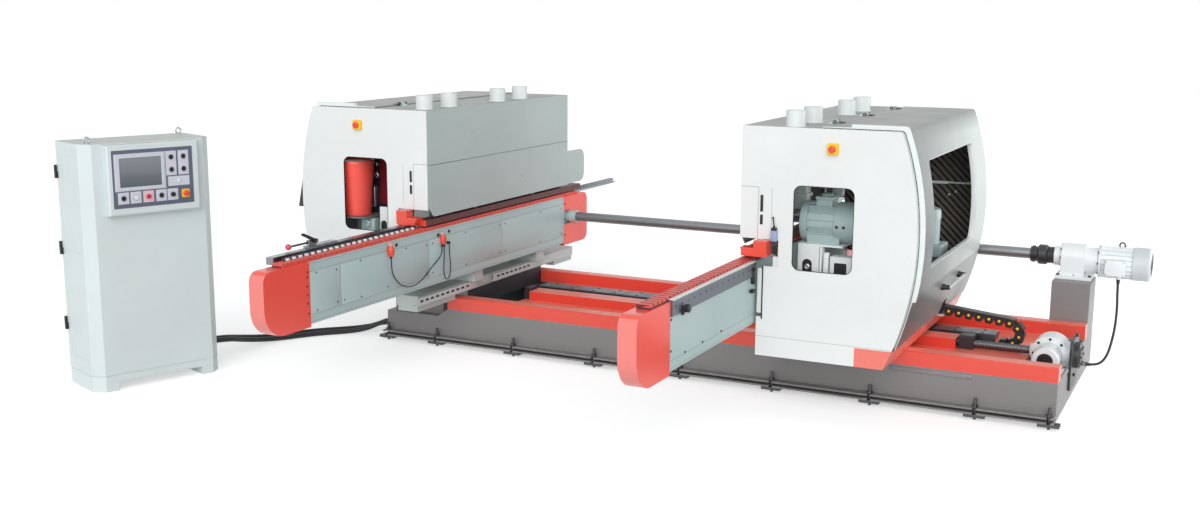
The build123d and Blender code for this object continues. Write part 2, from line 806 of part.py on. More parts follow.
def screw_bearings():
    across = (SCREW_Y - BEARING_WIDTH / 2, SCREW_Y + BEARING_WIDTH / 2)
    high = (DECK_TOP, BEARING_TOP)
    left_end = PIT_RIGHT + LEFT_BEARING_LENGTH - SLIDE_GAP
    left = block((PIT_RIGHT, left_end), across, high)
    left += rod_x((PIT_RIGHT - BEARING_RING, PIT_RIGHT), SCREW_Y, SCREW_Z, BEARING_RING_RADIUS)
    left -= rod_x((PIT_RIGHT - BEARING_RING, left_end), SCREW_Y, SCREW_Z, JOURNAL_RADIUS + RUNNING_FIT)
    right_x = (RIGHT_BEARING_LEFT, RIGHT_BEARING_LEFT + RIGHT_BEARING_LENGTH)
    right = block(right_x, across, high)
    right = chamfer(right.edges().filter_by(Axis.X).group_by(Axis.Z)[-1], BEARING_RING)
    right -= rod_x(right_x, SCREW_Y, SCREW_Z, SCREW_RADIUS + RUNNING_FIT)
    return left, right


def screw_motor():
    case = rod_y(SCREW_CASE_X, (SCREW_CASE_FRONT, SCREW_CASE_REAR), SCREW_Z, SCREW_CASE_RADIUS)
    case += rod_y(SCREW_CASE_X, (SCREW_MOTOR_FRONT, SCREW_CASE_FRONT), SCREW_Z, SCREW_MOTOR_RADIUS)
    cowl_y = (SCREW_MOTOR_FRONT, SCREW_MOTOR_FRONT + SCREW_COWL_LENGTH)
    cowl = rod_y(SCREW_CASE_X, cowl_y, SCREW_Z, SCREW_COWL_RADIUS)
    case += fillet(cowl.edges().filter_by(GeomType.CIRCLE).group_by(Axis.Y)[0], BEARING_RING)
    case += rod_x((SCREW_BOSS_LEFT, SCREW_CASE_X), SCREW_Y, SCREW_Z, SCREW_BOSS_RADIUS)
    case += rod_x((SCREW_CASE_X, BASE_HALF), SCREW_Y, SCREW_Z, END_HUB_RADIUS)
    case -= rod_x((SCREW_BOSS_LEFT, SCREW_END + SLIDE_GAP), SCREW_Y, SCREW_Z, JOURNAL_RADIUS + RUNNING_FIT)
    bracket_x = (BASE_HALF, BASE_HALF + END_BRACKET_THICK)
    across = (SCREW_Y - END_BRACKET_HALF, SCREW_Y + END_BRACKET_HALF)
    corner = END_BRACKET_HALF / 3
    plate = rectangle(across, (END_BRACKET_BOTTOM, SCREW_Z + SCREW_CASE_RADIUS), corner)
    bracket = plate_x(plate, bracket_x)
    hub_x = (bracket_x[1], bracket_x[1] + END_HUB_LENGTH)
    hub = rod_x(hub_x, SCREW_Y, SCREW_Z, END_HUB_RADIUS)
    bracket += chamfer(hub.edges().filter_by(GeomType.CIRCLE).group_by(Axis.X)[-1], BEARING_RING)
    return case, bracket


# Feed drive: shaft with coupling and left sprocket, gearmotor on the post

def sprocket(x):
    """A chain wheel with straight-sided teeth and a bore that fits the shaft."""
    tooth = pi / SPROCKET_TEETH
    points = []
    for index in range(SPROCKET_TEETH):
        middle = 2 * tooth * index
        for radius, angle in ((SPROCKET_RADIUS, -0.25), (SPROCKET_RADIUS, 0.25),
                              (SPROCKET_RADIUS - SPROCKET_TOOTH, 0.6),
                              (SPROCKET_RADIUS - SPROCKET_TOOTH, 1.4)):
            turn = middle + angle * tooth
            points.append((SHAFT_Y + radius * cos(turn), SHAFT_Z + radius * sin(turn)))
    return plate_x(outline(*points), x)


def sprocket_span(face, side):
    inner = face + side * SPROCKET_OUT
    outer = inner + side * SPROCKET_THICK
    return (min(inner, outer), max(inner, outer))


def drive_shaft():
    left_x = sprocket_span(LEFT_FACE, -1)
    shaft = rod_x((left_x[0], COUPLING_LEFT), SHAFT_Y, SHAFT_Z, SHAFT_RADIUS)
    shaft += sprocket(left_x)
    sleeve = rod_x((COUPLING_LEFT, COUPLING_RIGHT), SHAFT_Y, SHAFT_Z, COUPLING_SLEEVE_RADIUS)
    flange = rod_x((COUPLING_FLANGE_LEFT, COUPLING_FLANGE_RIGHT), SHAFT_Y, SHAFT_Z, COUPLING_FLANGE_RADIUS)
    coupling = sleeve + chamfer(flange.edges().filter_by(GeomType.CIRCLE), COUPLING_FLANGE_RADIUS / 6)
    gear_face = COUPLING_RIGHT + SLIDE_GAP
    coupling += rod_x((COUPLING_RIGHT, gear_face + GEAR_STUB_LENGTH), SHAFT_Y, SHAFT_Z, GEAR_STUB_RADIUS)
    return shaft, coupling


def right_sprocket():
    x = sprocket_span(RIGHT_FACE, 1)
    return sprocket(x) - rod_x(x, SHAFT_Y, SHAFT_Z, SHAFT_RADIUS + RUNNING_FIT)


def eyebolt(x, y, z, radius, wire):
    """A lifting eye that stands on a short collar, its ring in the x-z plane."""
    ring = Pos(x, y, z + wire + radius) * Rot(90, 0, 0) * Torus(radius, wire)
    return ring + rod_z(x, y, (z, z + 2 * wire), wire * 2)


def drive_gearmotor():
    gear_face = COUPLING_RIGHT + SLIDE_GAP
    foot_y = (SHAFT_Y - GEAR_FOOT_HALF, SHAFT_Y + GEAR_FOOT_HALF)
    foot_top = POST_TOP + GEAR_FOOT_THICK
    case = block((GEAR_FOOT_LEFT, GEAR_FOOT_RIGHT), foot_y, (POST_TOP, foot_top))
    case_y = (SHAFT_Y - GEAR_CASE_HALF, SHAFT_Y + GEAR_CASE_HALF)
    body = rectangle(case_y, (foot_top, SHAFT_Z)) + Pos(SHAFT_Y, SHAFT_Z) * Circle(GEAR_CASE_HALF)
    case += plate_x(body, (GEAR_CASE_LEFT, GEAR_CASE_RIGHT))
    case += rod_x((gear_face, GEAR_CASE_LEFT), SHAFT_Y, SHAFT_Z, GEAR_NOSE_RADIUS)
    case -= rod_x(
        (gear_face, gear_face + GEAR_STUB_LENGTH + SLIDE_GAP), SHAFT_Y, SHAFT_Z, GEAR_STUB_RADIUS + RUNNING_FIT)
    case += rod_x((GEAR_CASE_RIGHT, ADAPTOR_RIGHT), SHAFT_Y, MOTOR_Z, ADAPTOR_RADIUS)
    motor_x = (ADAPTOR_RIGHT + MOTOR_FLANGE_THICK, COWL_RIGHT)
    motor = rod_x((ADAPTOR_RIGHT, motor_x[0]), SHAFT_Y, MOTOR_Z, MOTOR_FLANGE_RADIUS)
    motor += rod_x((motor_x[0], COWL_LEFT), SHAFT_Y, MOTOR_Z, MOTOR_RADIUS)
    fin = block(
        (motor_x[0], COWL_LEFT), (MOTOR_RADIUS - MOTOR_FIN_THICK, MOTOR_FIN_RADIUS),
        (-MOTOR_FIN_THICK / 2, MOTOR_FIN_THICK / 2))
    for index in range(MOTOR_FIN_COUNT):
        motor += Pos(0, SHAFT_Y, MOTOR_Z) * Rot(360 * index / MOTOR_FIN_COUNT, 0, 0) * fin
    cowl = rod_x((COWL_LEFT, COWL_RIGHT), SHAFT_Y, MOTOR_Z, COWL_RADIUS)
    motor += fillet(cowl.edges().filter_by(GeomType.CIRCLE).group_by(Axis.X)[-1], COWL_EDGE)
    box_y = (TERMINAL_FRONT, SHAFT_Y - MOTOR_RADIUS / 2)
    box = block((TERMINAL_LEFT, TERMINAL_RIGHT), box_y, (TERMINAL_BOTTOM, TERMINAL_TOP))
    motor += fillet(box.edges().filter_by(Axis.Y), EYEBOLT_WIRE)
    gland_z = (TERMINAL_BOTTOM - MOTOR_GLAND_LENGTH, TERMINAL_BOTTOM)
    motor += rod_z(MOTOR_GLAND_X, MOTOR_GLAND_Y, gland_z, MOTOR_GLAND_RADIUS)
    motor += eyebolt(MOTOR_GLAND_X, SHAFT_Y, MOTOR_Z + MOTOR_RADIUS, EYEBOLT_RADIUS, EYEBOLT_WIRE)
    return case, motor


# Conveyor beam: an open box section with cover plates and the bearing hub of the drive shaft

def beam():
    body_y = (BEAM_FRONT, BEAM_REAR)
    shape = block((0, BEAM_WIDTH), body_y, (BEAM_BOTTOM, BEAM_TOP))
    shape -= block(
        (BEAM_SHEET, BEAM_WIDTH - BEAM_SHEET), body_y, (BEAM_BOTTOM + BEAM_SHEET, BEAM_TOP - BEAM_SHEET))
    pitch = (BEAM_REAR - BEAM_FRONT) / BEAM_PLATE_COUNT
    for index in range(BEAM_PLATE_COUNT):
        start = BEAM_FRONT + index * pitch
        plate_span = (start + COVER_GAP, start + pitch - COVER_GAP)
        shape += block((-BEAM_PLATE_THICK, 0), plate_span, (BEAM_PLATE_BOTTOM, BEAM_PLATE_TOP))
    tongue_z = (SHAFT_Z - TONGUE_HALF_HEIGHT, SHAFT_Z + TONGUE_HALF_HEIGHT)
    shape += block((BEAM_SHEET, TONGUE_OUTER), (TONGUE_START, BEAM_REAR), tongue_z)
    shape += block((TONGUE_INNER, TONGUE_OUTER), (BEAM_REAR, TONGUE_END), tongue_z)
    shape += rod_x((-HUB_REACH, TONGUE_INNER), SHAFT_Y, SHAFT_Z, HUB_RADIUS)
    shape -= rod_x((-HUB_REACH, TONGUE_OUTER), SHAFT_Y, SHAFT_Z, SHAFT_RADIUS + RUNNING_FIT)
    return shape


def cap_outline(shrink):
    """Side view of the front cap, open at the beam: a small round above, a large one below."""
    end = CAP_FRONT + shrink
    top = BEAM_TOP - shrink
    low = CAP_BOTTOM + shrink
    face = outline((BEAM_FRONT, low), (end, low), (end, top), (BEAM_FRONT, top))
    face = fillet(face.vertices().group_by(Axis.X)[0].sort_by(Axis.Y)[-1], CAP_TOP_RADIUS - shrink)
    return fillet(face.vertices().group_by(Axis.Y)[0].sort_by(Axis.X)[0], CAP_LOW_RADIUS - shrink)


def beam_caps(shaft_passes):
    wide = (-CAP_PROUD, BEAM_WIDTH + CAP_PROUD)
    hollow = (wide[0] + CAP_SHEET, wide[1] - CAP_SHEET)
    front = plate_x(cap_outline(0), wide) - plate_x(cap_outline(CAP_SHEET), hollow)
    rear_face = outline(
        (BEAM_REAR, CAP_BOTTOM), (CAP_REAR, CAP_BOTTOM), (CAP_REAR, BEAM_TOP), (BEAM_REAR, BEAM_TOP))
    rear_face = fillet(rear_face.vertices().group_by(Axis.X)[-1], CAP_TOP_RADIUS)
    inner_y = (BEAM_REAR, CAP_REAR - CAP_SHEET)
    inner_face = rectangle(inner_y, (CAP_BOTTOM + CAP_SHEET, BEAM_TOP - CAP_SHEET))
    inner_face = fillet(inner_face.vertices().group_by(Axis.X)[-1], CAP_TOP_RADIUS - CAP_SHEET)
    rear = plate_x(rear_face, wide) - plate_x(inner_face, hollow)
    slot = HUB_RADIUS + COVER_GAP
    slot_x = (wide[0], wide[1] if shaft_passes else BEAM_WIDTH / 2)
    rear -= block(slot_x, (BEAM_REAR, SHAFT_Y), (SHAFT_Z - slot, SHAFT_Z + slot))
    rear -= rod_x(slot_x, SHAFT_Y, SHAFT_Z, slot)
    return front, rear


def conveyor_chain():
    strip = rectangle((CHAIN_FRONT, CHAIN_REAR), (BEAM_TOP, BEAM_TOP + CHAIN_STRIP))
    count = int((CHAIN_REAR - CHAIN_FRONT) / PAD_PITCH)
    pads = []
    for index in range(count):
        start = CHAIN_FRONT + index * PAD_PITCH
        pads.append(rectangle((start, start + PAD_LENGTH), (BEAM_TOP + CHAIN_STRIP, CHAIN_TOP)))
    return plate_x(Sketch() + [strip] + pads, (CHAIN_INNER, CHAIN_OUTER))


# Hood: front panel, shell, hinged cover, skirt and dust ports

BELLY = ThreePointArc(
    (HOOD_TOP_WIDTH, HOOD_TOP), (HOOD_BELLY_WIDTH, HOOD_BELLY_Z), (HOOD_FOOT_WIDTH, HOOD_BOTTOM)
)
BELLY_OUT = BELLY.arc_center.X
BELLY_Z = BELLY.arc_center.Y
BELLY_RADIUS = BELLY.radius


def belly(z, proud=0):
    """How far out the rounded outer side lies at a height."""
    return BELLY_OUT + sqrt((BELLY_RADIUS + proud) ** 2 - (z - BELLY_Z) ** 2)


def hood_outline(low, proud=0, corner=0):
    """Front view of the hood down to a height: flat roof and rounded outer side."""
    top = HOOD_TOP + proud
    middle = (top + low) / 2
    side = ThreePointArc((belly(top, proud), top), (belly(middle, proud), middle), (belly(low, proud), low))
    rest = Polyline((belly(low, proud), low), (0, low), (0, top), (belly(top, proud), top))
    face = make_face([side, rest])
    if corner:
        face = fillet(face.vertices().sort_by(lambda v: v.X + v.Y)[-1], corner)
    return face


def hood_end(low):
    """Outline of the front panel and the rear wall, stepped clear of the beam and the work."""
    face = hood_outline(low)
    face -= rectangle((0, FOOT_EDGE), (low, WORK_TOP))
    face -= rectangle((0, BEAM_EDGE), (FOOT_STEP_Z, WORK_TOP))
    return face - rectangle((0, WORK_EDGE), (WORK_BOTTOM, WORK_TOP))


def front_panel(low, skirted):
    window = rectangle((WINDOW_INNER, WINDOW_OUTER), (WINDOW_BOTTOM, WINDOW_TOP), WINDOW_RADIUS)
    face = hood_end(low) - window
    if skirted:
        face -= rectangle((SKIRT_START, HOOD_BELLY_WIDTH), (low, SKIRT_TOP_FRONT))
    panel = plate_y(face, (HOOD_FRONT, PANEL_BACK))
    hoop_low = max(low, COVER_BOTTOM)
    hoop = hood_outline(hoop_low, -HOOP_DROP, HOOD_CORNER)
    hoop -= hood_outline(hoop_low, -HOOP_DROP - HOOP_THICK, HOOD_CORNER)
    hoop -= rectangle((0, HINGE_OUT + ROOF_LAP + COVER_GAP), (hoop_low, HOOD_TOP))
    panel += plate_y(hoop, (PANEL_BACK, HOOD_FRONT + HOOP_DEPTH))
    stem = rod_y(STOP_OUT, (HOOD_FRONT - STOP_BOX_DEPTH, PANEL_BACK), STOP_Z, STOP_STEM_RADIUS + RUNNING_FIT)
    stop_x = (STOP_OUT - STOP_BOX / 2, STOP_OUT + STOP_BOX / 2)
    stop_z = (STOP_Z - STOP_BOX / 2, STOP_Z + STOP_BOX / 2)
    stop_face = rectangle(stop_x, stop_z, STOP_STEM_RADIUS)
    stop_box = plate_y(stop_face, (HOOD_FRONT - STOP_BOX_DEPTH, HOOD_FRONT))
    return panel - stem, stop_box - stem


def hood_stop():
    """Mushroom button with its stem, standing clear of its box by its travel."""
    face = HOOD_FRONT - STOP_BOX_DEPTH
    base = face - STOP_TRAVEL - SLIDE_GAP
    head = rod_y(STOP_OUT, (base - STOP_HEAD_THICK, base), STOP_Z, STOP_HEAD_RADIUS)
    head = fillet(head.edges().filter_by(GeomType.CIRCLE).group_by(Axis.Y)[0], STOP_HEAD_THICK / 2)
    return head + rod_y(STOP_OUT, (base, base + STOP_STEM_LENGTH), STOP_Z, STOP_STEM_RADIUS)


def hood_shell(low, port_out, port_places):
    along = (PANEL_BACK, HOOD_REAR)
    side = outline(
        (PANEL_BACK, HOOD_TOP), (HOOD_REAR, HOOD_TOP), (HOOD_REAR, SIDE_BOTTOM),
        (PANEL_BACK + SIDE_CUT, SIDE_BOTTOM), (PANEL_BACK, SIDE_BOTTOM + SIDE_CUT),
    )
    side += rectangle((HOOD_REAR - TAIL_RADIUS * 2, TAIL_REAR), (TAIL_BOTTOM, TAIL_TOP), TAIL_RADIUS)
    shell = plate_x(side, (0, SHEET))
    proud = (-PRESSING_PROUD, 0)
    pressing_y = (PANEL_BACK + PRESSING_INSET, HOOD_REAR - PRESSING_INSET)
    shell += block(proud, pressing_y, (SEAM_Z + SEAM_GAP / 2, HOOD_TOP - PRESSING_INSET))
    shell += block(proud, pressing_y, (LOWER_PRESSING_BOTTOM, SEAM_Z - SEAM_GAP / 2))
    shell += block((0, HINGE_OUT + ROOF_LAP), along, (HOOD_TOP - SHEET, HOOD_TOP))
    for y in port_places:
        shell -= rod_z(port_out, y, (HOOD_TOP - SHEET, HOOD_TOP), PORT_RADIUS)
    shell += plate_y(hood_end(low), (REAR_WALL, HOOD_REAR))
    rod_out = (PRESS_INNER + PRESS_OUTER) / 2
    for y in PRESS_ROD_PLACES:
        guide_y = (y - GUIDE_BLOCK_HALF, y + GUIDE_BLOCK_HALF)
        guide = block((SHEET, rod_out + GUIDE_BLOCK_HALF), guide_y, (GUIDE_BLOCK_BOTTOM, GUIDE_BLOCK_TOP))
        shell += guide - rod_z(
            rod_out, y, (GUIDE_BLOCK_BOTTOM, GUIDE_BLOCK_TOP), PRESS_ROD_RADIUS + RUNNING_FIT)
    for y in HINGE_PLACES:
        knuckle_y = (y - KNUCKLE_LENGTH / 2, y + KNUCKLE_LENGTH / 2)
        shell += block((HINGE_OUT - 2 * HINGE_RADIUS, HINGE_OUT), knuckle_y, (HOOD_TOP, HINGE_Z))
        shell += rod_y(HINGE_OUT, knuckle_y, HINGE_Z, HINGE_RADIUS)
        shell += rod_y(HINGE_OUT, (y - KNUCKLE_LENGTH, y + KNUCKLE_LENGTH), HINGE_Z, HINGE_PIN_RADIUS)
    return shell


def cover_band(low, inner, outer, corner):
    """Front view of a sheet that follows the roof and the rounded side."""
    return hood_outline(low, outer, corner) - hood_outline(low, inner, corner)


def outer_cover(low, chain_notch):
    skin = COVER_LIFT + COVER_SHEET
    band = cover_band(low, COVER_LIFT, skin, HOOD_CORNER)
    edge = HINGE_OUT + HINGE_RADIUS + SLIDE_GAP
    band -= rectangle((0, edge), (low, HOOD_TOP + skin))
    cover = plate_y(band, (COVER_FRONT, COVER_REAR))
    lip = cover_band(max(low, LIP_BOTTOM), skin - COVER_SHEET / 2, skin + LIP_PROUD, HOOD_CORNER)
    lip -= rectangle((0, LIP_START), (low, HOOD_TOP + skin + LIP_PROUD))
    cover += plate_y(lip, (COVER_FRONT, COVER_FRONT + LIP_DEPTH))
    opening = rectangle(
        (COVER_WINDOW_FRONT, COVER_WINDOW_REAR), (COVER_WINDOW_BOTTOM, COVER_WINDOW_TOP), COVER_WINDOW_RADIUS)
    cover -= plate_x(opening, (HOOD_FOOT_WIDTH, HOOD_BELLY_WIDTH + skin + LIP_PROUD))
    if chain_notch:
        notch_y = (CHAIN_WAY_FRONT - CHAIN_NOTCH_SIDE, CHAIN_WAY_REAR + CHAIN_NOTCH_SIDE)
        cover -= block((HOOD_FOOT_WIDTH, HOOD_BELLY_WIDTH), notch_y, (low, CHAIN_NOTCH_TOP))
    grip = belly(HANDLE_Z, skin) + HANDLE_REACH
    bar = rod_y(grip, (HANDLE_FRONT, HANDLE_REAR), HANDLE_Z, HANDLE_RADIUS)
    for y in (HANDLE_FRONT, HANDLE_REAR):
        foot = (belly(HANDLE_Z, skin) - COVER_SHEET / 2, grip)
        bar += rod_x(foot, y, HANDLE_Z, HANDLE_RADIUS)
        bar += Pos(grip, y, HANDLE_Z) * Sphere(HANDLE_RADIUS)
    cover += bar
    for y in HINGE_PLACES:
        for start in (y - KNUCKLE_LENGTH, y + KNUCKLE_LENGTH / 2 + SLIDE_GAP):
            knuckle_y = (start, start + KNUCKLE_LENGTH / 2 - SLIDE_GAP)
            leaf_z = (HOOD_TOP + skin - COVER_SHEET / 2, HINGE_Z)
            knuckle = rod_y(HINGE_OUT, knuckle_y, HINGE_Z, HINGE_RADIUS)
            knuckle += block((HINGE_OUT, edge + 2 * HINGE_RADIUS), knuckle_y, (leaf_z[0], leaf_z[1]))
            cover += knuckle - rod_y(HINGE_OUT, knuckle_y, HINGE_Z, HINGE_PIN_RADIUS + RUNNING_FIT)
    return cover


def right_skirt():
    corner = hood_outline(HOOD_BOTTOM)
    corner &= rectangle((SKIRT_START, HOOD_BELLY_WIDTH), (HOOD_BOTTOM, SKIRT_TOP_FRONT))
    skirt = plate_y(corner, (HOOD_FRONT, PANEL_BACK))
    side_top = COVER_BOTTOM - COVER_GAP
    band = cover_band(HOOD_BOTTOM, -SKIRT_SHEET, 0, 0)
    band &= rectangle((HOOD_FOOT_WIDTH / 2, HOOD_BELLY_WIDTH), (HOOD_BOTTOM, side_top))
    skirt += plate_y(band, (PANEL_BACK, REAR_WALL))
    notch_y = (CHAIN_WAY_FRONT - CHAIN_NOTCH_SIDE, CHAIN_WAY_REAR + CHAIN_NOTCH_SIDE)
    notch_z = (chain_seat() - CHAIN_BRACKET_THICK - COVER_GAP, side_top)
    return skirt - block((HOOD_FOOT_WIDTH / 2, HOOD_BELLY_WIDTH), notch_y, notch_z)


def dust_ports(out, places):
    ports = []
    for y in places:
        port = rod_z(out, y, (HOOD_TOP, HOOD_TOP + PORT_HEIGHT), PORT_RADIUS)
        port += rod_z(out, y, (HOOD_TOP, HOOD_TOP + PORT_FLANGE_THICK), PORT_RADIUS + PORT_FLANGE)
        ports.append(port - rod_z(out, y, (HOOD_TOP, HOOD_TOP + PORT_HEIGHT), PORT_RADIUS - PORT_WALL))
    return ports


# Pressure beam: a red bar over the chain with a stepped nose, carried by two rods

def pressure_beam():
    bar_y = (HOOD_FRONT - NOSE_GAP, PRESS_REAR)
    bar = block((PRESS_INNER, PRESS_OUTER), bar_y, (PRESS_BOTTOM, PRESS_TOP))
    lead_in = NOSE_MIDDLE - NOSE_BOTTOM
    nose = outline(
        (NOSE_INNER, NOSE_MIDDLE), (NOSE_STEP, NOSE_MIDDLE), (NOSE_STEP, NOSE_TOP), (NOSE_OUTER, NOSE_TOP),
        (NOSE_OUTER, NOSE_BOTTOM), (NOSE_INNER + lead_in / 2, NOSE_BOTTOM),
    )
    bar += plate_y(nose, (PRESS_FRONT, HOOD_FRONT - NOSE_GAP))
    rod_out = (PRESS_INNER + PRESS_OUTER) / 2
    for y in PRESS_ROD_PLACES:
        bar += rod_z(rod_out, y, (PRESS_TOP, PRESS_ROD_TOP), PRESS_ROD_RADIUS)
    return bar


# Saw motor on its column, and the blade on its arbor

def saw_motor(y):
    end = SAW_MOTOR_INNER + SAW_MOTOR_LENGTH
    cowl = end - SAW_COWL_LENGTH
    motor = rod_x((SAW_MOTOR_INNER, cowl), y, SAW_Z, SAW_MOTOR_RADIUS - SAW_FIN_HEIGHT)
    motor += rod_x((SAW_MOTOR_INNER, SAW_MOTOR_INNER + SAW_SHIELD_LENGTH), y, SAW_Z, SAW_SHIELD_RADIUS)
    fin_radius = (SAW_MOTOR_RADIUS - 2 * SAW_FIN_HEIGHT, SAW_MOTOR_RADIUS)
    fin = block((SAW_MOTOR_INNER, cowl), fin_radius, (-SAW_FIN_THICK / 2, SAW_FIN_THICK / 2))
    for index in range(SAW_FIN_COUNT):
        motor += Pos(0, y, SAW_Z) * Rot(360 * (index + 0.5) / SAW_FIN_COUNT, 0, 0) * fin
    hood = rod_x((cowl, end), y, SAW_Z, SAW_SHIELD_RADIUS)
    motor += fillet(hood.edges().filter_by(GeomType.CIRCLE).group_by(Axis.X)[-1], SAW_COWL_LENGTH / 4)
    foot_x = (SAW_MOTOR_INNER + SAW_SHIELD_LENGTH, SAW_MOTOR_INNER + SAW_SHIELD_LENGTH + SAW_FOOT_LENGTH)
    foot_z = (SAW_Z - SAW_SHIELD_RADIUS, SAW_Z - SAW_MOTOR_RADIUS / 2)
    motor += block(foot_x, (y - SAW_FOOT_HALF, y + SAW_FOOT_HALF), foot_z)
    box_x = (foot_x[0] + SAW_SHIELD_LENGTH, foot_x[0] + SAW_SHIELD_LENGTH + SAW_BOX_LENGTH)
    motor += block(box_x, (y - SAW_BOX_HALF, y + SAW_BOX_HALF), (SAW_Z, SAW_BOX_TOP))
    bore = (SAW_MOTOR_INNER, SAW_MOTOR_INNER + ARBOR_BORE + SLIDE_GAP)
    return motor - rod_x(bore, y, SAW_Z, ARBOR_RADIUS + RUNNING_FIT)


def saw_blade(y):
    tooth = 2 * pi / BLADE_TEETH
    points = []
    for index in range(BLADE_TEETH):
        for radius, share in (
                (BLADE_RADIUS, 0.0), (BLADE_RADIUS - BLADE_TOOTH, 0.2), (BLADE_RADIUS - BLADE_TOOTH, 0.6)):
            turn = tooth * (index + share)
            points.append((y + radius * cos(turn), SAW_Z + radius * sin(turn)))
    blade = plate_x(outline(*points), (BLADE_OUT, BLADE_OUT + BLADE_THICK))
    flange_x = (BLADE_OUT - BLADE_FLANGE_THICK, BLADE_OUT + BLADE_THICK + BLADE_FLANGE_THICK)
    blade += rod_x(flange_x, y, SAW_Z, BLADE_FLANGE_RADIUS)
    return blade + rod_x((flange_x[0], SAW_MOTOR_INNER + ARBOR_BORE), y, SAW_Z, ARBOR_RADIUS)


def saw_column(y, low):
    """Column with an arched hand hole, and the seat under the motor's feet."""
    seat_top = SAW_Z - SAW_SHIELD_RADIUS
    front = y - COLUMN_FORWARD
    column_x = (COLUMN_INNER, COLUMN_INNER + COLUMN_WIDTH)
    column_y = (front, front + COLUMN_DEPTH)
    column = block(column_x, column_y, (low, seat_top - SEAT_THICK))
    middle = COLUMN_INNER + COLUMN_WIDTH / 2
    half = COLUMN_ARCH_WIDTH / 2
    arch = rectangle((middle - half, middle + half), (COLUMN_ARCH_BOTTOM, COLUMN_ARCH_TOP - half))
    arch += Pos(middle, COLUMN_ARCH_TOP - half) * Circle(half)
    column -= plate_y(arch, column_y)
    seat = block(
        (COLUMN_INNER, COLUMN_INNER + SEAT_LENGTH), (front, y + SEAT_REAR), (seat_top - SEAT_THICK, seat_top))
    return column + seat


def hood_members(low, saw_y):
    """Two long members under the hood's ends, and the cross member below the saw column."""
    high = (low, low + MEMBER_HEIGHT)
    along = (PANEL_BACK, REAR_WALL)
    frame = block((MEMBER_INNER, MEMBER_INNER + MEMBER_WIDTH), along, high)
    frame += block((MEMBER_OUTER, MEMBER_OUTER + MEMBER_WIDTH), along, high)
    front = saw_y - COLUMN_FORWARD
    frame += block((MEMBER_INNER, MEMBER_OUTER), (front, front + COLUMN_DEPTH), high)
    return frame + saw_column(saw_y, low + MEMBER_HEIGHT)


# Energy chain: links along a straight run, a half turn and a gently rising run

CHAIN_WAY_SWEEP = pi - radians(CHAIN_WAY_SLOPE)
CHAIN_WAY_TURN = CHAIN_WAY_BEND * CHAIN_WAY_SWEEP


def chain_way(length):
    """Place and direction in x and z at a distance along the chain from its fixed end."""
    centre_z = CHAIN_WAY_LOW + CHAIN_WAY_BEND
    if length < CHAIN_WAY_STRAIGHT:
        return CHAIN_WAY_START + length, CHAIN_WAY_LOW
    angle = min(length - CHAIN_WAY_STRAIGHT, CHAIN_WAY_TURN) / CHAIN_WAY_BEND
    x = CHAIN_WAY_BEND_X + CHAIN_WAY_BEND * sin(angle)
    z = centre_z - CHAIN_WAY_BEND * cos(angle)
    rest = max(0, length - CHAIN_WAY_STRAIGHT - CHAIN_WAY_TURN)
    return x + rest * cos(CHAIN_WAY_SWEEP), z + rest * sin(CHAIN_WAY_SWEEP)


def link_count():
    """As many links as reach from the fixed end to the outer long member of the right head."""
    head_end = RIGHT_FACE + SADDLE_OUTER + COVER_GAP
    rising = (chain_way(CHAIN_WAY_STRAIGHT + CHAIN_WAY_TURN)[0] - head_end) / -cos(CHAIN_WAY_SWEEP)
    return int((CHAIN_WAY_STRAIGHT + CHAIN_WAY_TURN + rising) / LINK_PITCH)


def chain_links():
    half = LINK_HEIGHT / 2
    slim = LINK_PITCH / 4
    reach = (LINK_PITCH - LINK_GAP) / 2
    profile = outline((-reach, -half), (reach, -half), (reach, 0), (slim, half), (-slim, half), (-reach, 0))
    link = plate_y(profile, (CHAIN_WAY_FRONT, CHAIN_WAY_REAR))
    inside = (CHAIN_WAY_FRONT + LINK_WALL, CHAIN_WAY_REAR - LINK_WALL)
    link -= block((-LINK_PITCH, LINK_PITCH), inside, (-half + LINK_WALL, half - LINK_WALL))
    links = []
    for index in range(link_count()):
        start = chain_way(index * LINK_PITCH)
        end = chain_way((index + 1) * LINK_PITCH)
        turn = degrees(atan2(end[1] - start[1], end[0] - start[0]))
        place = Pos((start[0] + end[0]) / 2, 0, (start[1] + end[1]) / 2)
        links.append(place * Rot(0, -turn, 0) * link)
    return links


def chain_seat():
    """Height of the bracket's top under the last link."""
    return min(link.bounding_box().min.Z for link in chain_links()[-1:]) - SLIDE_GAP


# Saddles

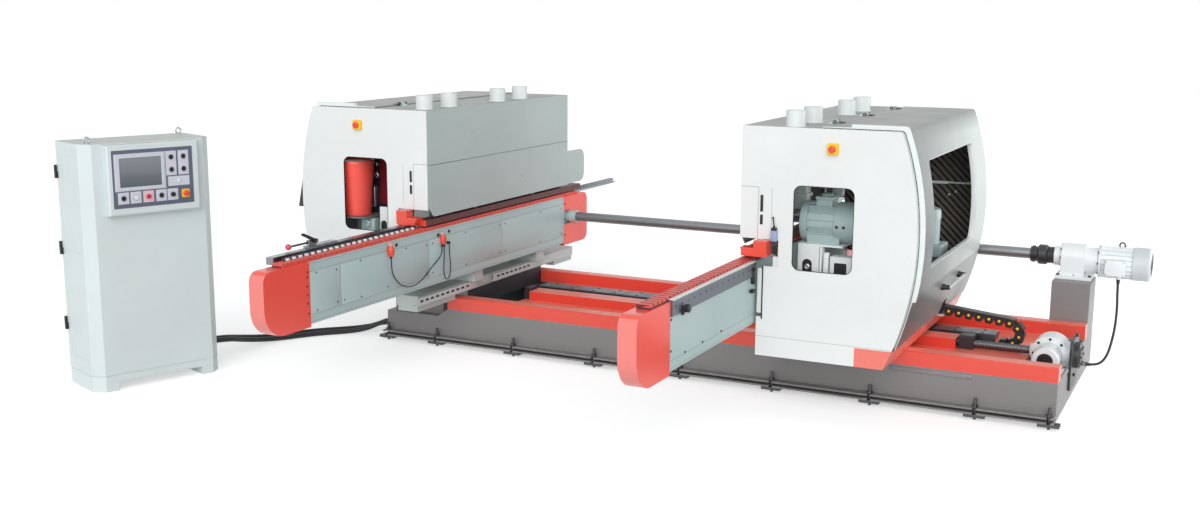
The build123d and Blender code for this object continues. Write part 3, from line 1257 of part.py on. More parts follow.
def right_saddle():
    top = SADDLE_BOTTOM + SADDLE_THICK
    along = (-SADDLE_HALF_DEPTH, SADDLE_HALF_DEPTH)
    saddle = block((SADDLE_INNER, SADDLE_OUTER), along, (SADDLE_BOTTOM, top))
    shoe_x = (SHOE_INNER, SHOE_OUTER)
    shoe_z = (RAIL_TOP + SLIDE_GAP, SADDLE_BOTTOM)
    for y in ((BASE_FRONT, BASE_FRONT + RAIL_DEPTH), (BASE_REAR - RAIL_DEPTH, BASE_REAR)):
        saddle += block(shoe_x, (y[0] + SHOE_INSET, y[1] - SHOE_INSET), shoe_z)
    saddle += block(shoe_x, (GUIDE_FRONT, GUIDE_REAR), (GUIDE_TOP + SLIDE_GAP, SADDLE_BOTTOM))
    nut_x = (NUT_INNER, NUT_OUTER)
    saddle += block(nut_x, (NUT_PLATE_FRONT, NUT_PLATE_REAR), (NUT_BOTTOM, SADDLE_BOTTOM))
    nut = block(nut_x, (NUT_FRONT, NUT_PLATE_REAR), (NUT_BOTTOM, NUT_TOP))
    saddle += nut - rod_x(nut_x, SCREW_Y, SCREW_Z, SCREW_RADIUS + RUNNING_FIT)
    for y in RISER_PLACES:
        saddle += block(
            (SADDLE_INNER, BEAM_WIDTH), (y - RISER_DEPTH / 2, y + RISER_DEPTH / 2), (top, BEAM_BOTTOM))
    saddle += hood_members(top, RIGHT_SAW_Y)
    seat = chain_seat()
    outer = MEMBER_OUTER + MEMBER_WIDTH
    last = max(link.bounding_box().max.X for link in chain_links()[-1:]) - RIGHT_FACE
    post_top = max(seat, top + MEMBER_HEIGHT)
    saddle += block((MEMBER_OUTER, outer), (CHAIN_WAY_FRONT, CHAIN_WAY_REAR), (top, post_top))
    saddle += block((outer, last), (CHAIN_WAY_FRONT, CHAIN_WAY_REAR), (seat - CHAIN_BRACKET_THICK, seat))
    return saddle


def left_saddle():
    beam_x = (LEFT_SADDLE_INNER, LEFT_SADDLE_OUTER)
    saddle = block(beam_x, (PANEL_BACK, LEFT_SADDLE_REAR), (PEDESTAL_TOP, LEFT_SADDLE_TOP))
    foot_x = (LEFT_SADDLE_INNER + LEFT_FOOT_INSET, LEFT_SADDLE_OUTER - LEFT_FOOT_INSET)
    foot_z = (LEFT_FOOT_BOTTOM, PEDESTAL_TOP)
    saddle += block(foot_x, (PANEL_BACK, LEFT_FRONT_FOOT_REAR), foot_z)
    saddle += block(foot_x, (LEFT_REAR_FOOT_FRONT, LEFT_SADDLE_REAR), foot_z)
    for near, far in ((PEDESTAL_NEAR, PEDESTAL_FAR), (-PEDESTAL_FAR, -PEDESTAL_NEAR)):
        saddle += block((LEFT_SADDLE_OUTER, SADDLE_OUTER), (near, far), (PEDESTAL_TOP, LEFT_CROSS_TOP))
        post_x = (MEMBER_OUTER, MEMBER_OUTER + MEMBER_WIDTH)
        saddle += block(post_x, (near, far), (LEFT_CROSS_TOP, LEFT_PANEL_BOTTOM))
    for y in RISER_PLACES:
        riser_y = (y - RISER_DEPTH / 2, y + RISER_DEPTH / 2)
        saddle += block((LEFT_RISER_INNER, LEFT_SADDLE_OUTER), riser_y, (LEFT_SADDLE_TOP, BEAM_BOTTOM))
        post_x = (MEMBER_INNER, MEMBER_INNER + MEMBER_WIDTH)
        saddle += block(post_x, riser_y, (BEAM_BOTTOM, LEFT_PANEL_BOTTOM))
    saddle += hood_members(LEFT_PANEL_BOTTOM, LEFT_SAW_Y)
    member_top = LEFT_PANEL_BOTTOM + MEMBER_HEIGHT
    leg_y = (CANISTER_Y - MEMBER_WIDTH / 2, CANISTER_Y + MEMBER_WIDTH / 2)
    saddle += block((MEMBER_INNER, MEMBER_OUTER), leg_y, (LEFT_PANEL_BOTTOM, member_top))
    leg_x = (CANISTER_OUT - MEMBER_WIDTH / 2, CANISTER_OUT + MEMBER_WIDTH / 2)
    saddle += block(leg_x, leg_y, (member_top, SHELF_TOP - SHELF_THICK))
    saddle += rod_z(CANISTER_OUT, CANISTER_Y, (SHELF_TOP - SHELF_THICK, SHELF_TOP), CANISTER_RADIUS)
    for bar in TIE_BARS:
        bar_x = (LEFT_SADDLE_INNER - TIE_BAR_DEPTH, LEFT_SADDLE_INNER)
        angle_bar = block(bar_x, bar, (TIE_BAR_BOTTOM, TIE_BAR_BOTTOM + TIE_BAR_SHEET))
        angle_bar += block((bar_x[0], bar_x[0] + TIE_BAR_SHEET), bar, (TIE_BAR_BOTTOM, TIE_BAR_TOP))
        saddle += angle_bar
    return saddle


def canister():
    """A tapered pail with a rim and a lid."""
    rim = CANISTER_RADIUS - CANISTER_RIM
    profile = make_face(Polyline(
        (0, 0), (CANISTER_FOOT_RADIUS, 0), (rim, CANISTER_HEIGHT - CANISTER_RIM_HEIGHT),
        (CANISTER_RADIUS, CANISTER_HEIGHT - CANISTER_RIM_HEIGHT), (CANISTER_RADIUS, CANISTER_HEIGHT),
        (0, CANISTER_HEIGHT), close=True,
    ))
    return Pos(CANISTER_OUT, CANISTER_Y, SHELF_TOP) * revolve(Plane.XZ * profile, Axis.Z)


# Left fence with its two clamp levers

def fence():
    rail = block((FENCE_INNER, FENCE_OUTER), (FENCE_FRONT, FENCE_REAR), (FENCE_BOTTOM, FENCE_TOP))
    for y in FENCE_BRACKETS:
        bracket_y = (y - FENCE_BRACKET_HALF, y + FENCE_BRACKET_HALF)
        rail += block((BEAM_WIDTH, FENCE_INNER), bracket_y, (FENCE_BRACKET_BOTTOM, FENCE_TOP))
    tail = block(
        (FENCE_INNER, TAIL_FENCE_OUTER), (TAIL_FENCE_FRONT, TAIL_FENCE_END), (TAIL_FENCE_BOTTOM, TAIL_FENCE_TOP))
    bracket_y = (TAIL_FENCE_FRONT, BEAM_REAR - COVER_GAP)
    tail += block((BEAM_WIDTH, FENCE_INNER), bracket_y, (FENCE_BRACKET_BOTTOM, TAIL_FENCE_TOP))
    count = int((TAIL_FENCE_END - ROLLER_FIRST) / ROLLER_PITCH)
    for index in range(count):
        place = Pos(FENCE_INNER, ROLLER_FIRST + (index + 0.5) * ROLLER_PITCH, TAIL_FENCE_TOP)
        fin = block(
            (0, TAIL_FENCE_OUTER - FENCE_INNER), (-ROLLER_THICK / 2, ROLLER_THICK / 2),
            (-ROLLER_THICK / 2, ROLLER_LENGTH))
        tail += place * Rot(-ROLLER_LEAN, 0, 0) * fin
    plate_z_span = (FENCE_TOP, FENCE_TOP + CLAMP_THICK)
    clamp = block((CLAMP_INNER, CLAMP_OUTER), (CLAMP_FRONT, CLAMP_REAR), plate_z_span)
    middle = (CLAMP_INNER + CLAMP_OUTER) / 2
    lug_x = (middle - CLAMP_LUG / 2, middle + CLAMP_LUG / 2)
    lug_y = (BALL_PIVOT_Y - BALL_BOSS_RADIUS, GRIP_PIVOT_Y + GRIP_BOSS_RADIUS)
    lug_top = max(BALL_PIVOT_Z, GRIP_PIVOT_Z) + CLAMP_LUG
    clamp += block(lug_x, lug_y, (plate_z_span[1], lug_top))
    pin_reach = CLAMP_LEVER_WIDTH + SLIDE_GAP
    clamp += rod_x((lug_x[1], lug_x[1] + pin_reach), BALL_PIVOT_Y, BALL_PIVOT_Z, CLAMP_PIN_RADIUS)
    clamp += rod_x((lug_x[0] - pin_reach, lug_x[0]), GRIP_PIVOT_Y, GRIP_PIVOT_Z, CLAMP_PIN_RADIUS)
    return rail, tail, clamp


def clamp_side(side):
    """Span across the machine of the lever on one side of the clamp's lug."""
    middle = (CLAMP_INNER + CLAMP_OUTER) / 2
    near = middle + side * (CLAMP_LUG / 2 + SLIDE_GAP)
    far = near + side * CLAMP_LEVER_WIDTH
    return (min(near, far), max(near, far))


def ball_lever():
    span = clamp_side(1)
    middle = sum(span) / 2
    lever = rod_x(span, BALL_PIVOT_Y, BALL_PIVOT_Z, BALL_BOSS_RADIUS)
    end = BALL_PIVOT_Y - BALL_LEVER_LENGTH
    lever += rod_y(middle, (end, BALL_PIVOT_Y), BALL_PIVOT_Z, BALL_LEVER_RADIUS)
    lever -= rod_x(span, BALL_PIVOT_Y, BALL_PIVOT_Z, CLAMP_PIN_RADIUS + RUNNING_FIT)
    return lever + Pos(middle, end, BALL_PIVOT_Z) * Sphere(BALL_RADIUS)


def grip_lever():
    span = clamp_side(-1)
    boss = rod_x(span, 0, 0, GRIP_BOSS_RADIUS)
    grip = rectangle((-GRIP_LENGTH, 0), (-GRIP_WIDTH / 2, GRIP_WIDTH / 2), GRIP_WIDTH / 2.2)
    lever = boss + plate_x(grip, span) - rod_x(span, 0, 0, CLAMP_PIN_RADIUS + RUNNING_FIT)
    return Pos(0, GRIP_PIVOT_Y, GRIP_PIVOT_Z) * Rot(-GRIP_LEAN, 0, 0) * lever


# Holed rail with the pale edge strip on the right beam

def slot_rail():
    along = (RAIL_BAR_FRONT, RAIL_BAR_REAR)
    outer = BEAM_WIDTH + RAIL_BAR_THICK
    bar = block((BEAM_WIDTH, outer), along, (RAIL_BAR_BOTTOM, BEAM_TOP))
    pitch = (RAIL_BAR_REAR - RAIL_BAR_FRONT) / RAIL_HOLE_COUNT
    for index in range(RAIL_HOLE_COUNT):
        y = RAIL_BAR_FRONT + (index + 0.5) * pitch
        bar -= rod_x((BEAM_WIDTH, outer), y, RAIL_HOLE_Z, RAIL_HOLE_RADIUS)
    return bar + block((EDGE_STRIP_INNER, outer), along, (BEAM_TOP, BEAM_TOP + EDGE_STRIP_HEIGHT))


# Hand switches on the left beam's inner face, with the glands of their leads

def lead_out():
    return -BEAM_PLATE_THICK - SWITCH_DEPTH / 2


def lead_gland(y, z):
    return rod_z(lead_out(), y, (z - SWITCH_GLAND_LENGTH, z), SWITCH_GLAND_RADIUS)


def hand_switches():
    face = -BEAM_PLATE_THICK
    switches = []
    for y, top in zip(SWITCH_PLACES, SWITCH_TOPS):
        body_y = (y - SWITCH_WIDTH / 2, y + SWITCH_WIDTH / 2)
        body = block((-SWITCH_DEPTH, 0), body_y, (top - SWITCH_HEIGHT, top))
        body = Pos(face, 0, 0) * fillet(body.edges().filter_by(Axis.Z).group_by(Axis.X)[0], SWITCH_EDGE)
        for lead_y in SWITCH_LEAD_Y:
            if abs(lead_y - y) < SWITCH_WIDTH / 2:
                body += lead_gland(lead_y, top - SWITCH_HEIGHT)
        switches.append(body)
    clip_y = (SWITCH_LEAD_Y[-1] - SWITCH_GLAND_RADIUS, SWITCH_LEAD_Y[-1] + SWITCH_GLAND_RADIUS)
    clip = block((lead_out(), face), clip_y, (LEAD_CLIP_Z - SWITCH_GLAND_LENGTH, LEAD_CLIP_Z))
    switches.append(clip + lead_gland(SWITCH_LEAD_Y[-1], LEAD_CLIP_Z))
    return switches


# Control cabinet, drawn square with its front along x, then turned to its place

def to_cabinet(shape):
    return Pos(CABINET_X, CABINET_Y, 0) * Rot(0, 0, CABINET_TURN) * shape


def cabinet_section(shrink):
    """Plan of the cabinet with its two slanted front corners."""
    cut = CABINET_CHAMFER
    right = CABINET_WIDTH - shrink
    return outline(
        (shrink, cut + shrink / 2), (cut + shrink / 2, shrink), (CABINET_WIDTH - cut - shrink / 2, shrink),
        (right, cut + shrink / 2), (right, CABINET_DEPTH), (shrink, CABINET_DEPTH),
    )


def cabinet_body():
    body = plate_z(cabinet_section(0), (0, CABINET_HEIGHT))
    seam = (PLINTH_HEIGHT, PLINTH_HEIGHT + PLINTH_SEAM)
    body -= plate_z(cabinet_section(0) - cabinet_section(PLINTH_SEAM_DEPTH), seam)
    body -= plate_z(cabinet_section(CABINET_WALL), (CABINET_FLOOR_Z, CABINET_HEIGHT - CABINET_WALL))
    body -= block((PLINTH_CUT_LEFT, PLINTH_CUT_RIGHT), (0, CABINET_DEPTH), (0, PLINTH_CUT_TOP))
    for low, high in SIDE_RECESS_SPANS:
        recess_y = (CABINET_CHAMFER + SIDE_RECESS_INSET / 2, CABINET_DEPTH - SIDE_RECESS_INSET / 2)
        body -= block((0, SIDE_RECESS), recess_y, (low, high))
    desk = block((DESK_LEFT, DESK_RIGHT), (-DESK_DEPTH, 0), (DESK_BOTTOM, DESK_TOP))
    body += chamfer(desk.edges().group_by(Axis.Y)[0], DESK_EDGE)
    for (x, z), radius in panel_bores():
        body -= rod_y(x, (-DESK_DEPTH, -DESK_DEPTH + STEM_LENGTH + PANEL_STOP_STEM), z, radius)
    plate_x_span = (BACKPLATE_INSET, CABINET_WIDTH - BACKPLATE_INSET)
    plate_z_span = (CABINET_FLOOR_Z, CABINET_HEIGHT - CABINET_WALL)
    back = block(plate_x_span, (CABINET_CHAMFER, CABINET_CHAMFER + BACKPLATE_THICK), plate_z_span)
    rail_pitch = (plate_z_span[1] - plate_z_span[0]) / (DIN_RAIL_COUNT + 1)
    for index in range(DIN_RAIL_COUNT):
        z = plate_z_span[0] + (index + 1) * rail_pitch
        rail_y = (CABINET_CHAMFER + BACKPLATE_THICK, CABINET_CHAMFER + BACKPLATE_THICK + DIN_RAIL_THICK)
        rail_x = (plate_x_span[0] + BACKPLATE_INSET, plate_x_span[1] - BACKPLATE_INSET)
        back += block(rail_x, rail_y, (z, z + DIN_RAIL_HEIGHT))
    body += back
    for x, y in CABINET_EYES:
        body += eyebolt(x, y, CABINET_HEIGHT, CABINET_EYE_RADIUS, CABINET_EYE_WIRE)
    for depth in CABLE_GLAND_DEPTHS:
        gland_x = (CABINET_WIDTH, CABINET_WIDTH + CABLE_GLAND_LENGTH)
        body += rod_x(gland_x, depth, CABLE_GLAND_Z, CABLE_GLAND_RADIUS)
    for z in DOOR_HINGE_PLACES:
        body += hinge_knuckle((z, z + DOOR_KNUCKLE), CABINET_DEPTH - DOOR_HINGE_RADIUS, CABINET_DEPTH, 0)
        pin_z = (z, z + 2 * DOOR_KNUCKLE)
        body += rod_z(-DOOR_HINGE_RADIUS, CABINET_DEPTH + DOOR_HINGE_RADIUS, pin_z, DOOR_PIN_RADIUS)
    return body


def hinge_knuckle(z, leaf_front, leaf_rear, leaf_right):
    """A round knuckle beside the cabinet's rear left corner, with a leaf to what it carries."""
    x = -DOOR_HINGE_RADIUS
    y = CABINET_DEPTH + DOOR_HINGE_RADIUS
    knuckle = rod_z(x, y, z, DOOR_HINGE_RADIUS)
    front = min(leaf_front, y)
    rear = max(leaf_rear, y)
    leaf = block((-2 * DOOR_HINGE_RADIUS, leaf_right), (front, rear), z)
    return knuckle + leaf - block((0, leaf_right + DOOR_HINGE_RADIUS), (CABINET_DEPTH, rear), z)


def cabinet_door():
    inner = CABINET_DEPTH + DOOR_GAP
    door = block(
        (DOOR_INSET, CABINET_WIDTH - DOOR_INSET), (inner, CABINET_BACK),
        (PLINTH_HEIGHT + PLINTH_SEAM, CABINET_HEIGHT))
    door = chamfer(door.edges().group_by(Axis.Y)[-1], DOOR_FOLD)
    x = -DOOR_HINGE_RADIUS
    y = CABINET_DEPTH + DOOR_HINGE_RADIUS
    for z in DOOR_HINGE_PLACES:
        low = z + DOOR_KNUCKLE + SLIDE_GAP
        knuckle_z = (low, low + DOOR_KNUCKLE - SLIDE_GAP)
        knuckle = rod_z(x, y, knuckle_z, DOOR_HINGE_RADIUS)
        knuckle += block((x, DOOR_INSET), (y, CABINET_BACK - DOOR_FOLD), knuckle_z)
        door += knuckle - rod_z(x, y, knuckle_z, DOOR_PIN_RADIUS + RUNNING_FIT)
    return door


def panel_bores():
    """Places and radii of the bores for the stems of knobs and buttons."""
    small = list(SELECTORS.values()) + list(BUTTONS.values())
    bores = [(place, STEM_RADIUS + RUNNING_FIT) for place in small]
    return bores + [(PANEL_STOP, PANEL_STOP_STEM + RUNNING_FIT)]


def cabinet_panel():
    back = -DESK_DEPTH
    face = back - PLATE_THICK
    panel = plate_y(rectangle((PLATE_LEFT, PLATE_RIGHT), (PLATE_BOTTOM, PLATE_TOP)), (face, back))
    screen_x = (SCREEN_LEFT, SCREEN_RIGHT)
    screen_z = (SCREEN_BOTTOM, SCREEN_TOP)
    frame = plate_y(rectangle(screen_x, screen_z, SCREEN_FRAME / 2), (face - SCREEN_PROUD, face))
    glass_x = (SCREEN_LEFT + SCREEN_FRAME, SCREEN_RIGHT - SCREEN_FRAME)
    glass_z = (SCREEN_BOTTOM + SCREEN_FRAME, SCREEN_TOP - SCREEN_FRAME)
    frame -= block(glass_x, (face - SCREEN_PROUD, face - SCREEN_PROUD + SCREEN_SUNK), glass_z)
    panel += frame
    for x, z in list(SELECTORS.values()) + list(BUTTONS.values()):
        ring = rod_y(x, (face - RING_HEIGHT, face), z, RING_RADIUS)
        panel += ring - rod_y(x, (face - RING_HEIGHT, face), z, RING_BORE)
    lamp = rod_y(LAMP_X, (face - RING_HEIGHT - SCREEN_PROUD, face), LAMP_Z, LAMP_RADIUS)
    panel += fillet(lamp.edges().filter_by(GeomType.CIRCLE).group_by(Axis.Y)[0], LAMP_RADIUS / 2)
    x, z = PANEL_STOP
    half = PANEL_STOP_PLATE / 2
    stop_plate = rectangle((x - half, x + half), (z - half, z + half), SCREEN_FRAME / 2)
    panel += plate_y(stop_plate, (face - PANEL_STOP_PLATE_THICK, face))
    for (x, z), radius in panel_bores():
        panel -= rod_y(x, (face - PANEL_STOP_PLATE_THICK - RING_HEIGHT, back), z, radius)
    return panel


def selector(x, z):
    """A round knob with a raised grip, turning in its ring."""
    face = -DESK_DEPTH - PLATE_THICK
    base = face - SLIDE_GAP
    knob = rod_y(x, (base - KNOB_BASE, base), z, KNOB_RADIUS)
    grip_x = (x - KNOB_GRIP_WIDTH / 2, x + KNOB_GRIP_WIDTH / 2)
    grip_z = (z - KNOB_RADIUS, z + KNOB_RADIUS)
    grip = block(grip_x, (base - KNOB_BASE - KNOB_GRIP, base - KNOB_BASE), grip_z)
    grip &= rod_y(x, (base - KNOB_BASE - KNOB_GRIP, base - KNOB_BASE), z, KNOB_RADIUS)
    return knob + grip + rod_y(x, (base, face + STEM_LENGTH), z, STEM_RADIUS)


def push_button(x, z):
    """A flat push button whose cap stands in its ring by more than its travel."""
    face = -DESK_DEPTH - PLATE_THICK
    base = face - BUTTON_TRAVEL - SLIDE_GAP
    cap = rod_y(x, (base - BUTTON_HEIGHT, base), z, KNOB_RADIUS)
    cap = chamfer(cap.edges().filter_by(GeomType.CIRCLE).group_by(Axis.Y)[0], SLIDE_GAP * 3)
    return cap + rod_y(x, (base, face + STEM_LENGTH - BUTTON_TRAVEL), z, STEM_RADIUS)


def panel_stop():
    x, z = PANEL_STOP
    face = -DESK_DEPTH - PLATE_THICK - PANEL_STOP_PLATE_THICK
    base = face - STOP_TRAVEL - SLIDE_GAP
    head = rod_y(x, (base - STOP_HEAD_THICK, base), z, PANEL_STOP_RADIUS)
    head = fillet(head.edges().filter_by(GeomType.CIRCLE).group_by(Axis.Y)[0], STOP_HEAD_THICK / 2)
    return head + rod_y(x, (base, face + STEM_LENGTH), z, PANEL_STOP_STEM)


# Cables: tubes along straight runs joined by the largest arcs that the runs allow

def cord(name, points, diameter):
    """Sweeps one cable along its points and prints its bends and its volume against its length."""
    path_points = [Vector(*point) for point in points]
    radii = []
    for before, corner, after in zip(path_points, path_points[1:], path_points[2:]):
        turn = radians((corner - before).get_angle(after - corner))
        run = min((corner - before).length, (after - corner).length)
        radii.append(0.45 * run / tan(turn / 2))
    path = FilletPolyline(*path_points, radius=radii)
    section = Plane(origin=path_points[0], z_dir=path_points[1] - path_points[0]) * Circle(diameter / 2)
    tube = sweep(section, path=path)
    ideal = pi * diameter ** 2 / 4 * path.length
    bends = ", ".join(f"{radius:.0f}" for radius in radii)
    print(f"{name}: length {path.length:.0f}, radii {bends}, volume ratio {tube.volume / ideal:.4f}")
    cord_names.append(name)
    add(name, tube)


def cabinet_exit(depth, reach=0):
    """A point on the axis of a gland on the cabinet's right side, at or beyond its end."""
    turn = radians(CABINET_TURN)
    along = CABINET_WIDTH + CABLE_GLAND_LENGTH + reach
    x = CABINET_X + along * cos(turn) - depth * sin(turn)
    y = CABINET_Y + along * sin(turn) + depth * cos(turn)
    return x, y, CABLE_GLAND_Z


def floor_cables():
    lying = FLOOR_CABLE_DIAMETER / 2 + SLIDE_GAP
    base_end = -BASE_HALF - BASE_GLAND_LENGTH
    first = cabinet_exit(CABLE_GLAND_DEPTHS[0])
    (y, z) = FLOOR_GLANDS[0]
    cord("cable_a", [
        first, cabinet_exit(CABLE_GLAND_DEPTHS[0], 150), (-3000, -1330, 72),
        (-2985, -1060, lying), (-2835, -780, lying + 1),
        (-2615, -572, lying), (-2498, -484, 34), (-2396, y, z), (base_end, y, z),
    ], FLOOR_CABLE_DIAMETER)
    second = cabinet_exit(CABLE_GLAND_DEPTHS[1])
    (y, z) = FLOOR_GLANDS[1]
    cord("cable_b", [
        second, cabinet_exit(CABLE_GLAND_DEPTHS[1], 150), (-2936, -1360, 66),
        (-2915, -1105, lying), (-2765, -845, lying + 1),
        (-2580, -660, lying), (-2482, -580, 36), (-2396, y, z), (base_end, y, z),
    ], FLOOR_CABLE_DIAMETER)


def motor_cable():
    y, z = BASE_MOTOR_GLAND
    gland = TERMINAL_BOTTOM - MOTOR_GLAND_LENGTH
    cord("motor_cable", [
        (MOTOR_GLAND_X, MOTOR_GLAND_Y, gland), (MOTOR_GLAND_X, MOTOR_GLAND_Y, gland - 75),
        (2438, 662, 450), (2440, 594, 342), (2432, 520, 256), (2420, 452, 193), (2394, 404, 152),
        (2352, y, z), (BASE_HALF + BASE_GLAND_LENGTH, y, z),
    ], MOTOR_CABLE_DIAMETER)


def switch_leads():
    x = LEFT_FACE - lead_out()
    first = SWITCH_TOPS[0] - SWITCH_HEIGHT - SWITCH_GLAND_LENGTH
    second = SWITCH_TOPS[1] - SWITCH_HEIGHT - SWITCH_GLAND_LENGTH
    start, end, loop_start, loop_end = SWITCH_LEAD_Y
    sag = [(start, 726), (-1553, 661), (-1486, 606), (-1410, 579), (-1330, 577), (-1252, 599), (-1180, 640),
           (-1113, 676), (-1053, 705), (end, 738)]
    route = [(x, start, first)] + [(x, y, z) for y, z in sag] + [(x, end, second)]
    cord("switch_lead_a", route, LEAD_DIAMETER)
    loop = [(loop_start, 715), (-999, 654), (-998, 598), (-980, 555), (-945, 551), (-922, 585),
            (-917, 650), (loop_end, 718)]
    clip = LEAD_CLIP_Z - SWITCH_GLAND_LENGTH
    route = [(x, loop_start, second)] + [(x, y, z) for y, z in loop] + [(x, loop_end, clip)]
    cord("switch_lead_b", route, LEAD_DIAMETER)


# The whole machine, piece by piece

add("base_frame", base_frame())
add("levelling_feet", *levelling_feet())
add("bed_deck", bed_deck())
add("guideway", guideway())
add("lead_screw", lead_screw())
add("screw_bearings", *screw_bearings())
add("screw_motor", *screw_motor())
add("drive_shaft", *drive_shaft())
add("right_sprocket", right_sprocket())
add("drive_gearmotor", *drive_gearmotor())
add("energy_chain", *chain_links())

for side, place, shaft_passes, low, saw_y, port_out, port_places in (
    ("left", on_left, False, LEFT_PANEL_BOTTOM, LEFT_SAW_Y, LEFT_PORT_OUT, LEFT_PORT_PLACES),
    ("right", on_right, True, HOOD_BOTTOM, RIGHT_SAW_Y, RIGHT_PORT_OUT, RIGHT_PORT_PLACES),
):
    add(f"{side}_beam", place(beam()))
    add(f"{side}_beam_caps", *[place(cap) for cap in beam_caps(shaft_passes)])
    add(f"{side}_chain", place(conveyor_chain()))
    add(f"{side}_front_panel", *[place(piece) for piece in front_panel(low, side == "right")])
    add(f"{side}_hood_shell", place(hood_shell(low, port_out, port_places)))
    add(f"{side}_dust_ports", *[place(port) for port in dust_ports(port_out, port_places)])
    add(f"{side}_cover", place(outer_cover(max(low, COVER_BOTTOM), side == "right")))
    add(f"{side}_pressure", place(pressure_beam()))
    add(f"{side}_motor", place(saw_motor(saw_y)))
    add(f"{side}_cutter", place(saw_blade(saw_y)))
    add(f"{side}_estop", place(hood_stop()))

add("left_saddle", on_left(left_saddle()))
add("right_saddle", on_right(right_saddle()))
add("right_skirt", on_right(right_skirt()))
add("right_slot_rail", on_right(slot_rail()))
add("left_fence", *[on_left(piece) for piece in fence()])
add("ball_clamp_lever", on_left(ball_lever()))
add("black_clamp_lever", on_left(grip_lever()))
add("left_canister", on_left(canister()))
add("hand_switches", *[on_left(switch) for switch in hand_switches()])

add("cabinet_body", to_cabinet(cabinet_body()))
add("cabinet_panel", to_cabinet(cabinet_panel()))
add("cabinet_door", to_cabinet(cabinet_door()))
for name, place in SELECTORS.items():
    add(name, to_cabinet(selector(*place)))
for name, place in BUTTONS.items():
    add(name, to_cabinet(push_button(*place)))
add("cabinet_estop", to_cabinet(panel_stop()))

floor_cables()
motor_cable()
switch_leads()

# The origin goes under the middle of the machine, leaving its loose cables out of account
rigid = Compound([solid for name, solids in nodes.items() if name not in cord_names for solid in solids])
box = rigid.bounding_box()
origin = Vector((box.min.X + box.max.X) / 2, (box.min.Y + box.max.Y) / 2, box.min.Z)
print(f"base centre from the origin: {-origin.X:.4f}, {-origin.Y:.4f}, {-origin.Z:.4f}")

os.makedirs("parts", exist_ok=True)
for name, solids in nodes.items():
    moved = [Pos(-origin.X, -origin.Y, -origin.Z) * solid for solid in solids]
    export_step(moved[0] if len(moved) == 1 else Compound(moved), f"parts/{name}.step")
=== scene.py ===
from math import atan2, cos, pi, radians, sin, sqrt, tau

import bpy
from mathutils import Matrix, Vector


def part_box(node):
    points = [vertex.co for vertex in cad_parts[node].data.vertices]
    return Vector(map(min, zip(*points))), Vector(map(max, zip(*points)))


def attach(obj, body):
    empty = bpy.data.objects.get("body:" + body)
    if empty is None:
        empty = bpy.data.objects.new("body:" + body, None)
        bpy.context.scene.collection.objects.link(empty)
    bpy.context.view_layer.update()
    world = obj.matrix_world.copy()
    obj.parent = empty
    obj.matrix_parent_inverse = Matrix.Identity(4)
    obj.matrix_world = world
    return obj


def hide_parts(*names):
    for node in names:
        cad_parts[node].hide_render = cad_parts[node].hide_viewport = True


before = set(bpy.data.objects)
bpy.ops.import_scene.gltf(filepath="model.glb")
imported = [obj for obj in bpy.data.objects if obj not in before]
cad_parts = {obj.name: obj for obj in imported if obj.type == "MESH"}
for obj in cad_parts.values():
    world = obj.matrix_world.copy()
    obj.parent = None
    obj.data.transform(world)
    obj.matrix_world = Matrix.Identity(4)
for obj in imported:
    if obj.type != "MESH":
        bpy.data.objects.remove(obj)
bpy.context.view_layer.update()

# Studio: a camera low on the right at the photograph's angle, one broad soft light from beside it, a weaker
# one at the right rear, an even pale surround, and a pale floor that keeps the machine's shadow. All lengths
# are in metres, and places are measured from the middle of the base: x across, y along the feed, z up.
BASE_FRONT_REACH = 0.700
BASE_HALF_LENGTH = 2.274
bed_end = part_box("bed_deck")[1].x
frame_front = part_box("base_frame")[0].y
middle = Vector((bed_end - BASE_HALF_LENGTH, frame_front + BASE_FRONT_REACH, 0))
PHOTO_WIDTH = 1200
PHOTO_HEIGHT = 514
FOCAL_PIXELS = 1334.4
OPTICAL_CENTRE = (592.465, 260.753)
CAMERA_PLACE = (3.211, -8.228, 2.30)
CAMERA_YAW = 26.909
CAMERA_PITCH = 10.631
CAMERA_ROLL = 0.225
SENSOR_WIDTH = 36
VIEW_REACH = 200

lens = bpy.data.cameras.new("camera")
lens.sensor_width = SENSOR_WIDTH
lens.lens = FOCAL_PIXELS * SENSOR_WIDTH / PHOTO_WIDTH
lens.shift_x = (PHOTO_WIDTH / 2 - OPTICAL_CENTRE[0]) / PHOTO_WIDTH
lens.shift_y = (OPTICAL_CENTRE[1] - PHOTO_HEIGHT / 2) / PHOTO_WIDTH
lens.clip_end = VIEW_REACH
camera = bpy.data.objects.new("camera", lens)
bpy.context.scene.collection.objects.link(camera)
camera.matrix_world = (
    Matrix.Translation(middle + Vector(CAMERA_PLACE))
    @ Matrix.Rotation(radians(CAMERA_YAW), 4, "Z")
    @ Matrix.Rotation(radians(90 - CAMERA_PITCH), 4, "X")
    @ Matrix.Rotation(radians(CAMERA_ROLL), 4, "Z")
)
bpy.context.scene.camera = camera
bpy.context.scene.view_settings.view_transform = "Standard"

